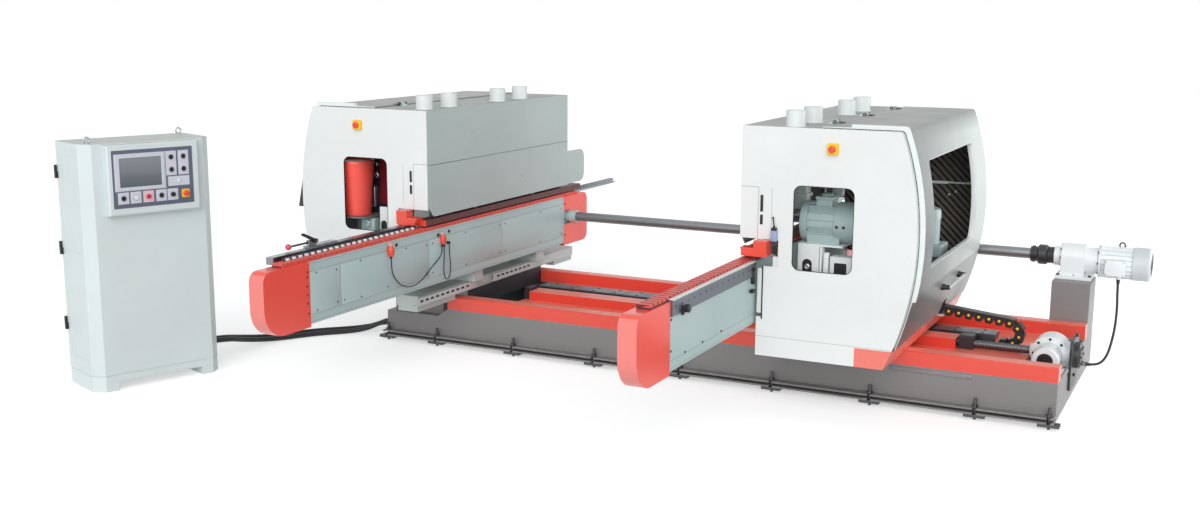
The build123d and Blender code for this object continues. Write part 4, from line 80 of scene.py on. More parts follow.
KEY_STRENGTH = 2.05
KEY_AZIMUTH = 20
KEY_HEIGHT = 24
KEY_SPREAD = 60
key = bpy.data.lights.new("key_light", "SUN")
key.energy = KEY_STRENGTH
key.angle = radians(KEY_SPREAD)
key_holder = bpy.data.objects.new("key_light", key)
bpy.context.scene.collection.objects.link(key_holder)
key_holder.rotation_euler = (radians(90 - KEY_HEIGHT), 0, radians(KEY_AZIMUTH))
SIDE_PLACE = (5.2, 2.6, 1.7)
SIDE_POWER = 90
SIDE_SIZE = 2.0
SIDE_TURN = 122
side_lamp = bpy.data.lights.new("side_light", "AREA")
side_lamp.energy = SIDE_POWER
side_lamp.size = SIDE_SIZE
side_holder = bpy.data.objects.new("side_light", side_lamp)
bpy.context.scene.collection.objects.link(side_holder)
side_holder.location = middle + Vector(SIDE_PLACE)
side_holder.rotation_euler = (radians(90), 0, radians(SIDE_TURN))
side_holder.visible_camera = False


class Wire:
    """One value in a node tree: sums, products and comparisons add Math nodes, node() adds any other."""

    def __init__(self, tree, socket=None):
        self.tree = tree
        self.socket = socket

    def join(self, value, socket):
        if isinstance(value, Wire):
            self.tree.links.new(value.socket, socket)
        else:
            socket.default_value = value

    def node(self, kind, settings, inputs, output=0):
        made = self.tree.nodes.new(kind)
        for name, value in settings.items():
            if name == "stops":
                for index, (place, colour) in enumerate(value):
                    stops = made.color_ramp.elements
                    stop = stops[index] if index < 2 else stops.new(place)
                    stop.position = place
                    stop.color = colour
            else:
                setattr(made, name, value)
        for name, value in inputs.items():
            self.join(value, made.inputs[name])
        return Wire(self.tree, made.outputs[output] if made.outputs else None)

    def math(self, operation, first, second=0.0):
        return self.node("ShaderNodeMath", {"operation": operation}, {0: first, 1: second})

    def __add__(self, other):
        return self.math("ADD", self, other)

    __radd__ = __add__

    def __sub__(self, other):
        return self.math("SUBTRACT", self, other)

    def __rsub__(self, other):
        return self.math("SUBTRACT", other, self)

    def __mul__(self, other):
        return self.math("MULTIPLY", self, other)

    __rmul__ = __mul__

    def __truediv__(self, other):
        return self.math("DIVIDE", self, other)

    def __rtruediv__(self, other):
        return self.math("DIVIDE", other, self)

    def __gt__(self, other):
        return self.math("GREATER_THAN", self, other)

    def __lt__(self, other):
        return self.math("LESS_THAN", self, other)

    def __mod__(self, other):
        return self.math("FLOORED_MODULO", self, other)

    def __abs__(self):
        return self.math("ABSOLUTE", self)


def on_show(wire):
    """1 for rays that come from the camera, a mirror or glass, 0 for the light that falls on the machine."""
    path = [wire.node("ShaderNodeLightPath", {}, {}, f"Is {kind} Ray")
            for kind in ("Camera", "Glossy", "Transmission")]
    return path[0] + path[1] + path[2]


SKY_HORIZON = 0.74
SKY_ZENITH = 0.30
SKY_TINT = (0.97, 0.985, 1, 1)
world = bpy.data.worlds.new("studio")
bpy.context.scene.world = world
world.use_nodes = True
world.node_tree.nodes.clear()
sky = Wire(world.node_tree)
way = sky.node("ShaderNodeTexCoord", {}, {}, "Generated")
rise = sky.node("ShaderNodeSeparateXYZ", {}, {0: way}, "Z")
dome = sky.node("ShaderNodeMapRange", {}, {0: rise, 3: SKY_HORIZON, 4: SKY_ZENITH})
lit = sky.node("ShaderNodeBackground", {}, {"Color": SKY_TINT, "Strength": dome})
white = sky.node("ShaderNodeBackground", {}, {"Color": (1, 1, 1, 1), "Strength": 1.0})
mixed = sky.node("ShaderNodeMixShader", {}, {0: on_show(sky), 1: lit, 2: white})
sky.node("ShaderNodeOutputWorld", {}, {"Surface": mixed})

FLOOR_SIZE = 60
FLOOR_SHADE = 0.80
FLOOR_GLOW = 0.50
bpy.ops.object.select_all(action="DESELECT")
bpy.ops.mesh.primitive_plane_add(size=FLOOR_SIZE, location=middle)
floor = bpy.context.object
floor.name = "studio_floor"
bpy.ops.object.transform_apply(location=True, rotation=True, scale=True)
pale = bpy.data.materials.new("studio_floor")
pale.use_nodes = True
pale.node_tree.nodes.clear()
sheet = Wire(pale.node_tree)
matt = sheet.node("ShaderNodeBsdfDiffuse", {}, {"Color": (FLOOR_SHADE, FLOOR_SHADE, FLOOR_SHADE, 1)})
glow = sheet.node("ShaderNodeEmission", {}, {"Strength": on_show(sheet) * FLOOR_GLOW})
both = sheet.node("ShaderNodeAddShader", {}, {0: matt, 1: glow})
sheet.node("ShaderNodeOutputMaterial", {}, {"Surface": both})
floor.data.materials.append(pale)


# Base frame: a long box of welded plate with foot flanges, ribs, a low deck on the left and the rear post
# for the drive. Sprayed satin dark grey after welding; straps and boots have rubbed its edges bright.
def chart(red, green, blue):
    """A colour as a paint chart gives it, 0 to 255, in the linear values that a shader takes."""
    parts = [part / 255 for part in (red, green, blue)]
    return [part / 12.92 if part < 0.04045 else ((part + 0.055) / 1.055) ** 2.4 for part in parts] + [1]


def toned(colour, share):
    """The same colour, darker or lighter."""
    return [min(1, part * share) for part in colour[:3]] + [1]


def axis(place, name):
    """One coordinate of a place."""
    return place.node("ShaderNodeSeparateXYZ", {}, {0: place}, name)


def cloud(place, size, detail=2.0):
    """Soft irregular patches about that large, around a value of 0.5."""
    return place.node("ShaderNodeTexNoise", {}, {"Vector": place, "Scale": 1 / size, "Detail": detail})


def ramp(value, low, high):
    """0 below the low value, 1 above the high one, straight between."""
    return value.node("ShaderNodeMapRange", {}, {0: value, 1: low, 2: high})


def mixed_colour(share, first, second):
    """The first colour where the share is 0, the second where it is 1."""
    return share.node("ShaderNodeMix", {"data_type": "RGBA"}, {0: share, 6: first, 7: second}, 2)


def rounded(place, radius):
    """The normal that edges rounded over at that radius would have."""
    return place.node("ShaderNodeBevel", {"samples": 4}, {"Radius": radius})


def rubbed(place, radius):
    """1 on a piece's edges and 0 on its faces."""
    flat = place.node("ShaderNodeNewGeometry", {}, {}, "Normal")
    across = {0: rounded(place, radius), 1: flat}
    agree = place.node("ShaderNodeVectorMath", {"operation": "DOT_PRODUCT"}, across, "Value")
    return ramp(1 - agree, 0.02, 0.16)


def embossed(height, depth, normal=None):
    """A bump of that depth; it stands on the rounded normal where one is given."""
    inputs = {"Height": height, "Strength": 1.0, "Distance": depth}
    if normal:
        inputs["Normal"] = normal
    return height.node("ShaderNodeBump", {}, inputs)


def surface(name, finish, fixed):
    made = bpy.data.materials.new(name)
    made.use_nodes = True
    shader = made.node_tree.nodes["Principled BSDF"]
    place = Wire(made.node_tree).node("ShaderNodeTexCoord", {}, {}, "Object")
    for socket, value in {**fixed, **finish(place)}.items():
        place.join(value, shader.inputs[socket])
    return made


def enamel(name, colour, gloss=0.4, edge=0.004, worn=None, marks=None, fixed=None):
    """Sprayed paint: slow changes of shade and a film of dust.

    Where an edge radius is given, it also has orange peel and soft edges. worn is the colour that shows
    along rubbed edges, marks() adds seams and the like to the colour, and fixed sets other sockets.
    """
    def finish(place):
        slow = ramp(cloud(place, 0.55, 3), 0.32, 0.68)
        dust = cloud(place, 0.08, 4) if edge else cloud(place, 0.25, 0)
        shade = mixed_colour(slow, toned(colour, 0.965), toned(colour, 1.02))
        shade = mixed_colour(ramp(dust, 0.5, 0.85) * 0.3, shade, toned(colour, 0.92))
        if worn:
            shade = mixed_colour(rubbed(place, edge) * ramp(cloud(place, 0.03, 4), 0.38, 0.62), shade, worn)
        if marks:
            shade = marks(place, shade)
        look = {"Base Color": shade, "Roughness": gloss + (dust - 0.5) * 0.16}
        if edge:
            look["Normal"] = embossed(cloud(place, 0.0012, 1), 0.00001, rounded(place, edge))
        return look
    return surface(name, finish, {"Specular IOR Level": 0.5, **(fixed or {})})


def dress(material, *names):
    """Gives CAD pieces their finish."""
    for name in names:
        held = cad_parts[name].data.materials
        held.clear()
        held.append(material)


DARK_GREY = chart(130, 127, 127)
base_paint = enamel("satin_dark_grey", DARK_GREY, 0.42, 0.006, chart(176, 178, 180))
dress(base_paint, "base_frame")


def finished(piece, body, material):
    """A new piece with its finish, riding on its body."""
    piece.data.materials.clear()
    piece.data.materials.append(material)
    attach(piece, body)
    return piece


SMOOTH_BELOW = radians(40)


def opened():
    """Opens the active piece's mesh for editing, with everything in it selected."""
    bpy.ops.object.mode_set(mode="EDIT")
    bpy.ops.mesh.select_all(action="SELECT")


def faced_out():
    """Turns all faces of the open mesh outwards and closes it."""
    bpy.ops.mesh.select_all(action="SELECT")
    bpy.ops.mesh.normals_make_consistent(inside=False)
    bpy.ops.object.mode_set(mode="OBJECT")


def block(name, x, y, z, edge=0.002, steps=2):
    """A piece cut from bar or plate between two limits each way, its edges rounded over."""
    bpy.ops.object.select_all(action="DESELECT")
    centre = [(span[0] + span[1]) / 2 for span in (x, y, z)]
    bpy.ops.mesh.primitive_cube_add(size=1, location=middle + Vector(centre))
    piece = bpy.context.object
    piece.name = name
    piece.scale = [abs(span[1] - span[0]) for span in (x, y, z)]
    bpy.ops.object.transform_apply(location=True, rotation=True, scale=True)
    opened()
    bpy.ops.mesh.bevel(offset=edge, segments=steps, affect="EDGES")
    bpy.ops.object.mode_set(mode="OBJECT")
    bpy.ops.object.shade_smooth_by_angle(angle=SMOOTH_BELOW)
    return piece


def turned(name, place, direction, steps, sides=24):
    """A piece turned about an axis: steps give the distance along it and the radius there."""
    bpy.ops.object.select_all(action="DESELECT")
    along, radius = steps[0]
    bpy.ops.mesh.primitive_circle_add(vertices=sides, radius=radius, fill_type="NGON", location=(0, 0, along))
    piece = bpy.context.object
    piece.name = name
    bpy.ops.object.transform_apply(location=True, rotation=True, scale=True)
    opened()
    for next_along, next_radius in steps[1:]:
        bpy.ops.mesh.extrude_region_move(TRANSFORM_OT_translate={"value": (0, 0, next_along - along)})
        share = next_radius / radius
        bpy.ops.transform.resize(value=(share, share, 1), center_override=(0, 0, next_along))
        along, radius = next_along, next_radius
    faced_out()
    piece.rotation_mode = "QUATERNION"
    piece.rotation_quaternion = Vector(direction).to_track_quat("Z", "Y")
    piece.location = middle + Vector(place)
    bpy.ops.object.transform_apply(location=True, rotation=True, scale=True)
    bpy.ops.object.shade_smooth_by_angle(angle=SMOOTH_BELOW)
    return piece


def joined(name, pieces):
    """Several meshes made one piece."""
    bpy.ops.object.select_all(action="DESELECT")
    for piece in pieces:
        piece.select_set(True)
    bpy.context.view_layer.objects.active = pieces[0]
    if len(pieces) > 1:
        bpy.ops.object.join()
    pieces[0].name = name
    return pieces[0]


def again(pattern):
    """A second piece with the same shape."""
    copy = pattern.copy()
    copy.data = pattern.data.copy()
    bpy.context.scene.collection.objects.link(copy)
    return copy


def spread(name, pattern, places):
    """Copies of one modelled piece, each moved by its own matrix or offset, as one piece."""
    made = []
    for place in places:
        copy = again(pattern)
        copy.data.transform(place if isinstance(place, Matrix) else Matrix.Translation(place))
        made.append(copy)
    bpy.data.objects.remove(pattern)
    return joined(name, made)


FRONT_FACE = -0.632
STRIP_FACE = FRONT_FACE - 0.004
STRIP_SCREW = [(0, 0.007), (0.004, 0.007), (0.005, 0.005)]
strip = [block("strip", (1.327, 1.803), (STRIP_FACE, FRONT_FACE), (0.222, 0.248), 0.0015)]
for x in (1.345, 1.785):
    strip.append(turned("strip_screw", (x, FRONT_FACE - 0.003, 0.235), (0, -1, 0), STRIP_SCREW, 12))
finished(joined("base_front_strip", strip), "base", base_paint)


# Floor cables, motor cable and switch leads: black rubber-jacketed cords between their glands, loose on
# the floor from the cabinet to the base, and hanging free at the drive motor and the hand switches.
def rubber(name, colour, rough):
    """Moulded rubber or plastic: a fine grain with dust in it."""
    def finish(place):
        dust = cloud(place, 0.02, 4)
        grain = cloud(place, 0.0015, 2)
        return {
            "Base Color": mixed_colour(ramp(dust, 0.45, 0.8), colour, toned(colour, 1.7)),
            "Roughness": rough + (dust - 0.5) * 0.25,
            "Normal": embossed(grain, 0.0002),
        }
    return surface(name, finish, {"Specular IOR Level": 0.4})


jacket = rubber("black_jacket", chart(38, 38, 40), 0.5)


MILLIMETRES = 1000


def cord(node, points, diameter):
    """One cord on a smooth line through its route, given in millimetres."""
    line = bpy.data.curves.new(node + "_jacket", "CURVE")
    line.dimensions = "3D"
    line.bevel_depth = diameter / 2
    line.bevel_resolution = 5
    line.resolution_u = 10
    line.use_fill_caps = True
    run = line.splines.new("NURBS")
    run.points.add(len(points) - 1)
    for knot, place in zip(run.points, points):
        knot.co = (*(middle + Vector(place) / MILLIMETRES), 1)
    run.order_u = 3
    run.use_endpoint_u = True
    piece = bpy.data.objects.new(node + "_jacket", line)
    bpy.context.scene.collection.objects.link(piece)
    line.materials.append(jacket)
    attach(piece, "base")
    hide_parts(node)


def relief(route, end, inner, steps):
    """The moulded sleeve at one end of a cord, along the cord's way out of its gland."""
    gland = Vector(route[end])
    return turned("relief", gland / MILLIMETRES, Vector(route[inner]) - gland, steps)


CABLE_A = [
    (-3015.8, -1712.5, 130), (-2963.0, -1572.1, 130), (-3000, -1330, 72), (-2985, -1060, 17.4),
    (-2835, -780, 18.4), (-2615, -572, 17.4), (-2498, -484, 34), (-2396, -440, 84), (-2302, -440, 84),
]
CABLE_B = [
    (-2959.6, -1733.6, 130), (-2906.9, -1593.2, 130), (-2936, -1360, 66), (-2915, -1105, 17.4),
    (-2765, -845, 18.4), (-2580, -660, 17.4), (-2482, -580, 36), (-2396, -530, 84), (-2302, -530, 84),
]
MOTOR_CABLE = [
    (2428, 696, 633), (2428, 696, 558), (2438, 662, 450), (2440, 594, 342), (2432, 520, 256),
    (2420, 452, 193), (2394, 404, 152), (2352, 385, 136), (2302, 385, 136),
]
LEAD_X = -1552
LEAD_A = [
    (-1583, 790), (-1583, 726), (-1553, 661), (-1486, 606), (-1410, 579), (-1330, 577), (-1252, 599),
    (-1180, 640), (-1113, 676), (-1053, 705), (-1015, 738), (-1015, 775),
]
LEAD_B = [
    (-990, 775), (-990, 715), (-999, 654), (-998, 598), (-980, 555), (-945, 551), (-922, 585),
    (-917, 650), (-930, 718), (-930, 784),
]
cord("cable_a", CABLE_A, 0.034)
cord("cable_b", CABLE_B, 0.034)
cord("motor_cable", MOTOR_CABLE, 0.016)
cord("switch_lead_a", [(LEAD_X, y, z) for y, z in LEAD_A], 0.007)
cord("switch_lead_b", [(LEAD_X, y, z) for y, z in LEAD_B], 0.007)

FLOOR_RELIEF = [(-0.004, 0.0245), (0.006, 0.0245), (0.010, 0.0225), (0.040, 0.0185)]
MOTOR_RELIEF = [(-0.003, 0.0135), (0.004, 0.0135), (0.007, 0.0120), (0.032, 0.0088)]
reliefs = [relief(route, -1, -2, FLOOR_RELIEF) for route in (CABLE_A, CABLE_B)]
reliefs += [relief(route, 0, 1, FLOOR_RELIEF) for route in (CABLE_A, CABLE_B)]
reliefs += [relief(MOTOR_CABLE, 0, 1, MOTOR_RELIEF), relief(MOTOR_CABLE, -1, -2, MOTOR_RELIEF)]
gland_black = rubber("black_gland", chart(30, 30, 32), 0.42)
finished(joined("cable_reliefs", reliefs), "base", gland_black)


# Levelling feet: threaded studs with hexagon nuts and pressed pads, blackened steel, one in each flange
# slot and one under the post.
def bare_steel(name, colour, rough, grain_way=(1, 1, 1), metal=1.0):
    """Machined or drawn steel: fine tool lines across the given way, a little oil and dirt."""
    def finish(place):
        turned_place = place.node("ShaderNodeVectorMath", {"operation": "MULTIPLY"}, {0: place, 1: grain_way})
        lines = cloud(turned_place, 0.004, 3)
        film = cloud(place, 0.06, 4)
        shade = mixed_colour(ramp(lines, 0.3, 0.7), toned(colour, 0.86), toned(colour, 1.08))
        shade = mixed_colour(ramp(film, 0.55, 0.8) * 0.45, shade, toned(colour, 0.55))
        return {
            "Base Color": shade,
            "Roughness": rough + (film - 0.5) * 0.3,
            "Normal": embossed(lines, 0.00015, rounded(place, 0.002)),
        }
    return surface(name, finish, {"Metallic": metal})


black_steel = bare_steel("blackened_steel", chart(92, 92, 95), 0.45)
dress(black_steel, "levelling_feet")


# Bed: the front and rear rails, the tray floor, the riser of the guideway and the cover over the lead
# screw, folded and welded plate sprayed glossy coral red; a paler coral on upward faces is painted sheen.
def recoat(node, material, chosen):
    """A second finish on those faces of a CAD piece whose middle passes the test, in places from the base."""
    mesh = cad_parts[node].data
    mesh.materials.append(material)
    slot = len(mesh.materials) - 1
    for face in mesh.polygons:
        if chosen(face.center - middle, face.normal):
            face.material_index = slot


FACING_UP = 0.9
CORAL = chart(232, 78, 62)
coral_paint = enamel(
    "coral_red", CORAL, 0.24, 0.003, chart(246, 150, 138), fixed={"Specular IOR Level": 0.62})
coral_top_sheen = enamel("coral_red_top_sheen", chart(246, 128, 108), 0.34, 0.006, chart(250, 176, 162))
dress(coral_paint, "bed_deck")
# The paler coral on upward faces is a painted sheen of the glossy red.
recoat("bed_deck", coral_top_sheen, lambda place, normal: normal.z > FACING_UP)


# Pit: the hollow of the base below the fixed head, its walls and floor painted near-black as painted
# shade, and a black sheet under the head's saddle above it that stands in for the shadow there.
PIT_X = (-1.860, -1.440)
PIT_HALF = 0.600
PIT_TOP = 0.2595
pit_shade_black = rubber("painted_shade_black", chart(36, 40, 46), 0.6)


def in_pit(place, normal):
    """The test for the walls and floor of the pit."""
    return PIT_X[0] < place.x < PIT_X[1] and abs(place.y) < PIT_HALF and place.z < PIT_TOP


# The pit's walls and floor get near-black paint as painted shade.
recoat("base_frame", pit_shade_black, in_pit)
# This black sheet is painted shadow under the saddle, where there is only shade.
shade_sheet = block("pit_shade_sheet", (-1.668, -1.664), (-0.528, 0.508), (0.262, 0.386), 0.001)
finished(shade_sheet, "base", pit_shade_black)


# Guideway: a ground steel bar along the base on which the right head slides, bolted down on its riser
# with two rows of socket screws in counterbores.
GUIDE_Y = 0.130
GUIDE_TOP = 0.335
GUIDE_SPAN = (-1.430, 1.800)
GUIDE_SCREW_START = 0.090
GUIDE_SCREW_PITCH = 0.170
GUIDE_SCREW_HALF = 0.042
ground_steel = bare_steel("ground_steel", chart(150, 154, 160), 0.30, (1, 40, 40))
dress(bare_steel("guideway_steel", chart(105, 108, 114), 0.36, (1, 40, 40)), "guideway")
screw_head = turned("guide_screw", (0, 0, 0), (0, 0, 1), [
    (-0.002, 0.011), (0.0012, 0.011), (0.002, 0.010), (0.002, 0.0056), (-0.0005, 0.0054)], 18)
guide_count = int((GUIDE_SPAN[1] - GUIDE_SPAN[0]) / GUIDE_SCREW_PITCH)
guide_screws = spread("guide_screws", screw_head, [
    Vector((GUIDE_SPAN[0] + GUIDE_SCREW_START + GUIDE_SCREW_PITCH * index, GUIDE_Y + side, GUIDE_TOP))
    for index in range(guide_count) for side in (-GUIDE_SCREW_HALF, GUIDE_SCREW_HALF)])
finished(guide_screws, "base", black_steel)


# Lead screw: a long steel bar with a rolled trapezoid thread, greased, between two bearing blocks in
# black paint.
SCREW_Y = -0.060
SCREW_Z = 0.296
THREAD_LEAD = 0.010


def thread_finish(place):
    """Crests and flanks of the thread, which wind along the screw."""
    move = {0: place, 1: -(middle + Vector((0, SCREW_Y, SCREW_Z)))}
    own = place.node("ShaderNodeVectorMath", {"operation": "ADD"}, move)
    angle = place.math("ARCTAN2", axis(own, "Z"), axis(own, "Y")) / tau
    crest = abs((axis(own, "X") / THREAD_LEAD + angle) % 1.0 - 0.5)
    flank = ramp(crest, 0.16, 0.34)
    film = cloud(place, 0.05, 3)
    shade = mixed_colour(flank, chart(84, 86, 90), chart(138, 141, 146))
    return {"Base Color": shade, "Roughness": 0.28 + film * 0.2, "Normal": embossed(flank, 0.0015)}


dress(surface("rolled_thread", thread_finish, {"Metallic": 1.0}), "lead_screw")
black_casting = enamel("black_paint", chart(46, 47, 50), 0.38, 0.004, chart(110, 111, 114))
dress(black_casting, "screw_bearings")


# Width drive: a pale worm gearmotor at the right end of the lead screw, its fan cowl towards the front,
# and the black stepped end bracket that carries it on the base's end plate.
PALE_GEAR = chart(234, 239, 241)
gear_paint = enamel("pale_gear_paint", PALE_GEAR, 0.30, 0.004)
dress(gear_paint, "screw_motor")
END_PLATE_X = 2.2735
recoat("screw_motor", black_casting, lambda place, normal: place.x > END_PLATE_X)
WORM_X = 2.150
COWL_FRONT = -0.300
VANE_COUNT = 9
FAN = [(0, 0.046), (0.003, 0.046), (0.004, 0.040), (0.004, 0.014), (0.007, 0.013), (0.008, 0.010)]
fan = [turned("fan", (WORM_X, COWL_FRONT + 0.001, SCREW_Z), (0, -1, 0), FAN)]
vane = block("vane", (WORM_X - 0.003, WORM_X + 0.003), (COWL_FRONT - 0.006, COWL_FRONT - 0.001),
             (SCREW_Z + 0.014, SCREW_Z + 0.039), 0.001)
hub = middle + Vector((WORM_X, 0, SCREW_Z))
fan.append(spread("vanes", vane, [
    Matrix.Translation(hub) @ Matrix.Rotation(tau * step / VANE_COUNT, 4, "Y") @ Matrix.Translation(-hub)
    for step in range(VANE_COUNT)]))
black_plastic = rubber("black_plastic", chart(32, 32, 34), 0.38)
finished(joined("screw_motor_fan", fan), "base", black_plastic)
hexagon = turned("bolt", (0, 0, 0), (0, 0, 1), [(-0.002, 0.0085), (0.006, 0.0085), (0.0075, 0.0068)], 6)


def facing(direction):
    """The turn that brings a piece modelled upwards to face that way."""
    return Vector(direction).to_track_quat("Z", "Y").to_matrix().to_4x4()


def bolt_ring(name, centre, direction, radius, count, size=1.0, start=0.0):
    """Hexagon bolts on a circle, all in one piece."""
    seat = Matrix.Translation(middle + Vector(centre)) @ facing(direction)
    own = Matrix.Scale(size, 4) @ Matrix.Translation(-middle)
    places = []
    for step in range(count):
        turn = Matrix.Rotation(tau * step / count + start, 4, "Z") @ Matrix.Translation((radius, 0, 0))
        places.append(seat @ turn @ own)
    return spread(name, again(hexagon), places)


dark_bolt = bare_steel("dark_bolt", chart(70, 71, 74), 0.42)
motor_bolts = [
    bolt_ring("ring", (WORM_X, -0.122, SCREW_Z), (0, -1, 0), 0.092, 8),
    bolt_ring("ring", (2.288, SCREW_Y, SCREW_Z), (1, 0, 0), 0.118, 6, 1.3, 0.3),
    bolt_ring("ring", (2.326, SCREW_Y, SCREW_Z), (1, 0, 0), 0.052, 6, 0.9),
]
finished(joined("screw_motor_bolts", motor_bolts), "base", dark_bolt)


# Feed drive: a long polished shaft that turns both conveyor sprockets, a black ribbed coupling, and a pale
# helical gearmotor with a finned motor, terminal box and fan cowl, bolted on the rear post.
SHAFT_Y = 0.822
SHAFT_Z = 0.733
MOTOR_Z = 0.718
polished = bare_steel("polished_shaft", chart(138, 141, 145), 0.34, (8, 1, 1), 0.7)
dress(polished, "drive_shaft")
COUPLING_START = 1.8675
recoat("drive_shaft", black_casting, lambda place, normal: place.x > COUPLING_START)
dress(black_steel, "right_sprocket")
dress(gear_paint, "drive_gearmotor")
EYE_TOP = 0.8215
EYE_START = 2.350
COWL_START = 2.500
zinc = bare_steel("zinc_plate", chart(186, 190, 194), 0.34)
cowl_grey = enamel("cowl_grey", chart(204, 212, 214), 0.34, 0.003)
recoat("drive_gearmotor", cowl_grey, lambda place, normal: place.x > COWL_START)
recoat("drive_gearmotor", black_steel,
       lambda place, normal: place.z > EYE_TOP and EYE_START < place.x < COWL_START)
RIB = [(-0.004, 0.049), (-0.004, 0.0535), (-0.002, 0.0555), (0.002, 0.0555), (0.004, 0.0535), (0.004, 0.049)]
rib = turned("coupling_rib", (0, 0, 0), (1, 0, 0), RIB, 32)
RIB_PLACES = (1.880, 1.893, 1.985, 1.998, 2.011)
coupling_ribs = spread("coupling_ribs", rib, [Vector((x, SHAFT_Y, SHAFT_Z)) for x in RIB_PLACES])
finished(coupling_ribs, "drive_shaft", black_casting)
drive_bolts = [
    bolt_ring("ring", (2.0675, SHAFT_Y, SHAFT_Z), (-1, 0, 0), 0.075, 8),
    bolt_ring("ring", (2.298, SHAFT_Y, MOTOR_Z), (-1, 0, 0), 0.095, 8),
]
for place in ((2.152, 0.743, 0.622), (2.055, 0.735, 0.622), (2.250, 0.735, 0.622)):
    drive_bolts.append(bolt_ring("ring", place, (0, 0, 1), 0.0, 1, 1.3))
finished(joined("drive_bolts", drive_bolts), "base", dark_bolt)
COWL_END = 2.610
GRILLE_WIRE = 0.004
grille = []
for radius in (0.076, 0.058, 0.040, 0.022):
    inside = radius - GRILLE_WIRE
    wire = [(0, radius), (0.0025, radius), (0.0025, inside), (0, inside)]
    grille.append(turned("grille", (COWL_END - 0.001, SHAFT_Y, MOTOR_Z), (1, 0, 0), wire, 32))
finished(joined("drive_cowl_grille", grille), "base", black_plastic)
TERMINAL_FRONT = 0.668
LID_FACE = TERMINAL_FRONT - 0.006
LID_SCREW = [(-0.001, 0.005), (0.002, 0.005), (0.003, 0.003)]
lid = block("terminal_lid", (2.343, 2.468), (LID_FACE, TERMINAL_FRONT + 0.001), (0.653, 0.754), 0.004, 3)
lid_screws = [turned("lid_screw", (x, LID_FACE, z), (0, -1, 0), LID_SCREW, 12)
              for x in (2.353, 2.458) for z in (0.663, 0.744)]
finished(lid, "base", gear_paint)
finished(joined("terminal_lid_screws", lid_screws), "base", zinc)


# Energy chain: black moulded links that carry the right head's cables, pinned to each other, with a
# yellow hinge stud on the front of every link.
LINK_PITCH = 0.062
LINK_LAST = 1.402
LINK_FRONT = 0.020
WAY_START = 1.822
WAY_STRAIGHT = 0.068
WAY_BEND = 0.066
WAY_LOW = 0.2944
WAY_SLOPE = radians(5.8)
dress(rubber("moulded_nylon", chart(36, 36, 38), 0.36), "energy_chain")


def way_place(length):
    """Place in x and z at a distance along the chain from its fixed end."""
    if length < WAY_STRAIGHT:
        return WAY_START + length, WAY_LOW
    sweep = pi - WAY_SLOPE
    angle = min((length - WAY_STRAIGHT) / WAY_BEND, sweep)
    rest = max(0, length - WAY_STRAIGHT - sweep * WAY_BEND)
    x = WAY_START + WAY_STRAIGHT + WAY_BEND * sin(angle) + rest * cos(sweep)
    return x, WAY_LOW + WAY_BEND * (1 - cos(angle)) + rest * sin(sweep)


links = []
link_number = 0
while True:
    near = way_place(link_number * LINK_PITCH)
    far = way_place((link_number + 1) * LINK_PITCH)
    if link_number * LINK_PITCH > WAY_STRAIGHT + WAY_BEND * pi and far[0] < LINK_LAST:
        break
    links.append(((near[0] + far[0]) / 2, (near[1] + far[1]) / 2))
    link_number += 1
stud = turned("stud", (0, 0, 0), (0, -1, 0), [(-0.001, 0.0085), (0.0015, 0.0085), (0.0025, 0.0065)], 14)
studs = spread("chain_studs", stud, [Vector((x, LINK_FRONT, z)) for x, z in links])
YELLOW = chart(250, 205, 40)
yellow_plastic = enamel("yellow_plastic", YELLOW, 0.35, 0.002)
finished(studs, "base", yellow_plastic)


# Heads: both are drawn outwards from the beam's inner face, the left one mirrored. First the conveyor
# beams: folded sheet boxes sprayed pale grey-green, with four screwed cover plates along each inner side.
PRESSING = 0.002
FACE = {
    "left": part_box("left_hood_shell")[1].x - PRESSING - middle.x,
    "right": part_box("right_hood_shell")[0].x + PRESSING - middle.x,
}
WAY = {"left": -1, "right": 1}
BODY = {"left": "base", "right": "right_head"}


def outwards(side, *distances):
    """Places in x at these distances outwards from a head's inner face."""
    return tuple(FACE[side] + WAY[side] * distance for distance in distances)


GREY_GREEN = chart(181, 202, 202)
SEAM_GREY = chart(112, 122, 122)
PANEL_WHITE = chart(229, 233, 232)
BEAM_FRONT = -2.346
BEAM_REAR = 0.704
BEAM_LOW = 0.535
BEAM_HIGH = 0.895
BEAM_JOINTS = (-2.066, -1.1427, -0.2193)
BEAM_PLATE_LOW = 0.592
BEAM_PLATE_HIGH = 0.838
BEAM_PLATE_FACE = -0.0045
BEAM_PLATE_BACK = -0.002
BEAM_FOLDS = (BEAM_LOW + 0.014, BEAM_HIGH - 0.012)
PLATE_GAP = 0.002
PLATE_SHADOW = 0.003
BEAM_REACH = 0.010


def within(value, span):
    """1 between the two limits."""
    return (value > span[0]) * (value < span[1])


def seam(place, along, at, width=0.003):
    """1 on a thin line where that axis has that value."""
    return abs(axis(place, along) - at) < width / 2


def beam_marks(place, shade):
    """Fold lines above and below the plates, painted shadow along their edges, and the unlit underside."""
    high = axis(place, "Z")
    for height in BEAM_FOLDS:
        shade = mixed_colour(seam(place, "Z", height) * 0.6, shade, SEAM_GREY)
    # Painted shadow beside the plates' lower and upper edges, where they stand proud of the beam.
    plates = within(high, (BEAM_PLATE_LOW - PLATE_SHADOW, BEAM_PLATE_LOW))
    plates = plates + within(high, (BEAM_PLATE_HIGH, BEAM_PLATE_HIGH + PLATE_SHADOW))
    shade = mixed_colour(ramp(plates, 0, 1) * 0.7, shade, SEAM_GREY)
    across = axis(place, "X") - middle.x
    inner = within(across, (FACE["left"] - BEAM_REACH, FACE["right"] + BEAM_REACH))
    inner = inner * within(high, (BEAM_PLATE_LOW, BEAM_PLATE_HIGH))
    for joint in BEAM_JOINTS:
        shade = mixed_colour(seam(place, "Y", middle.y + joint, 2 * PLATE_GAP) * inner, shade, SEAM_GREY)
    return mixed_colour(high < BEAM_LOW + 0.001, shade, chart(70, 74, 75))


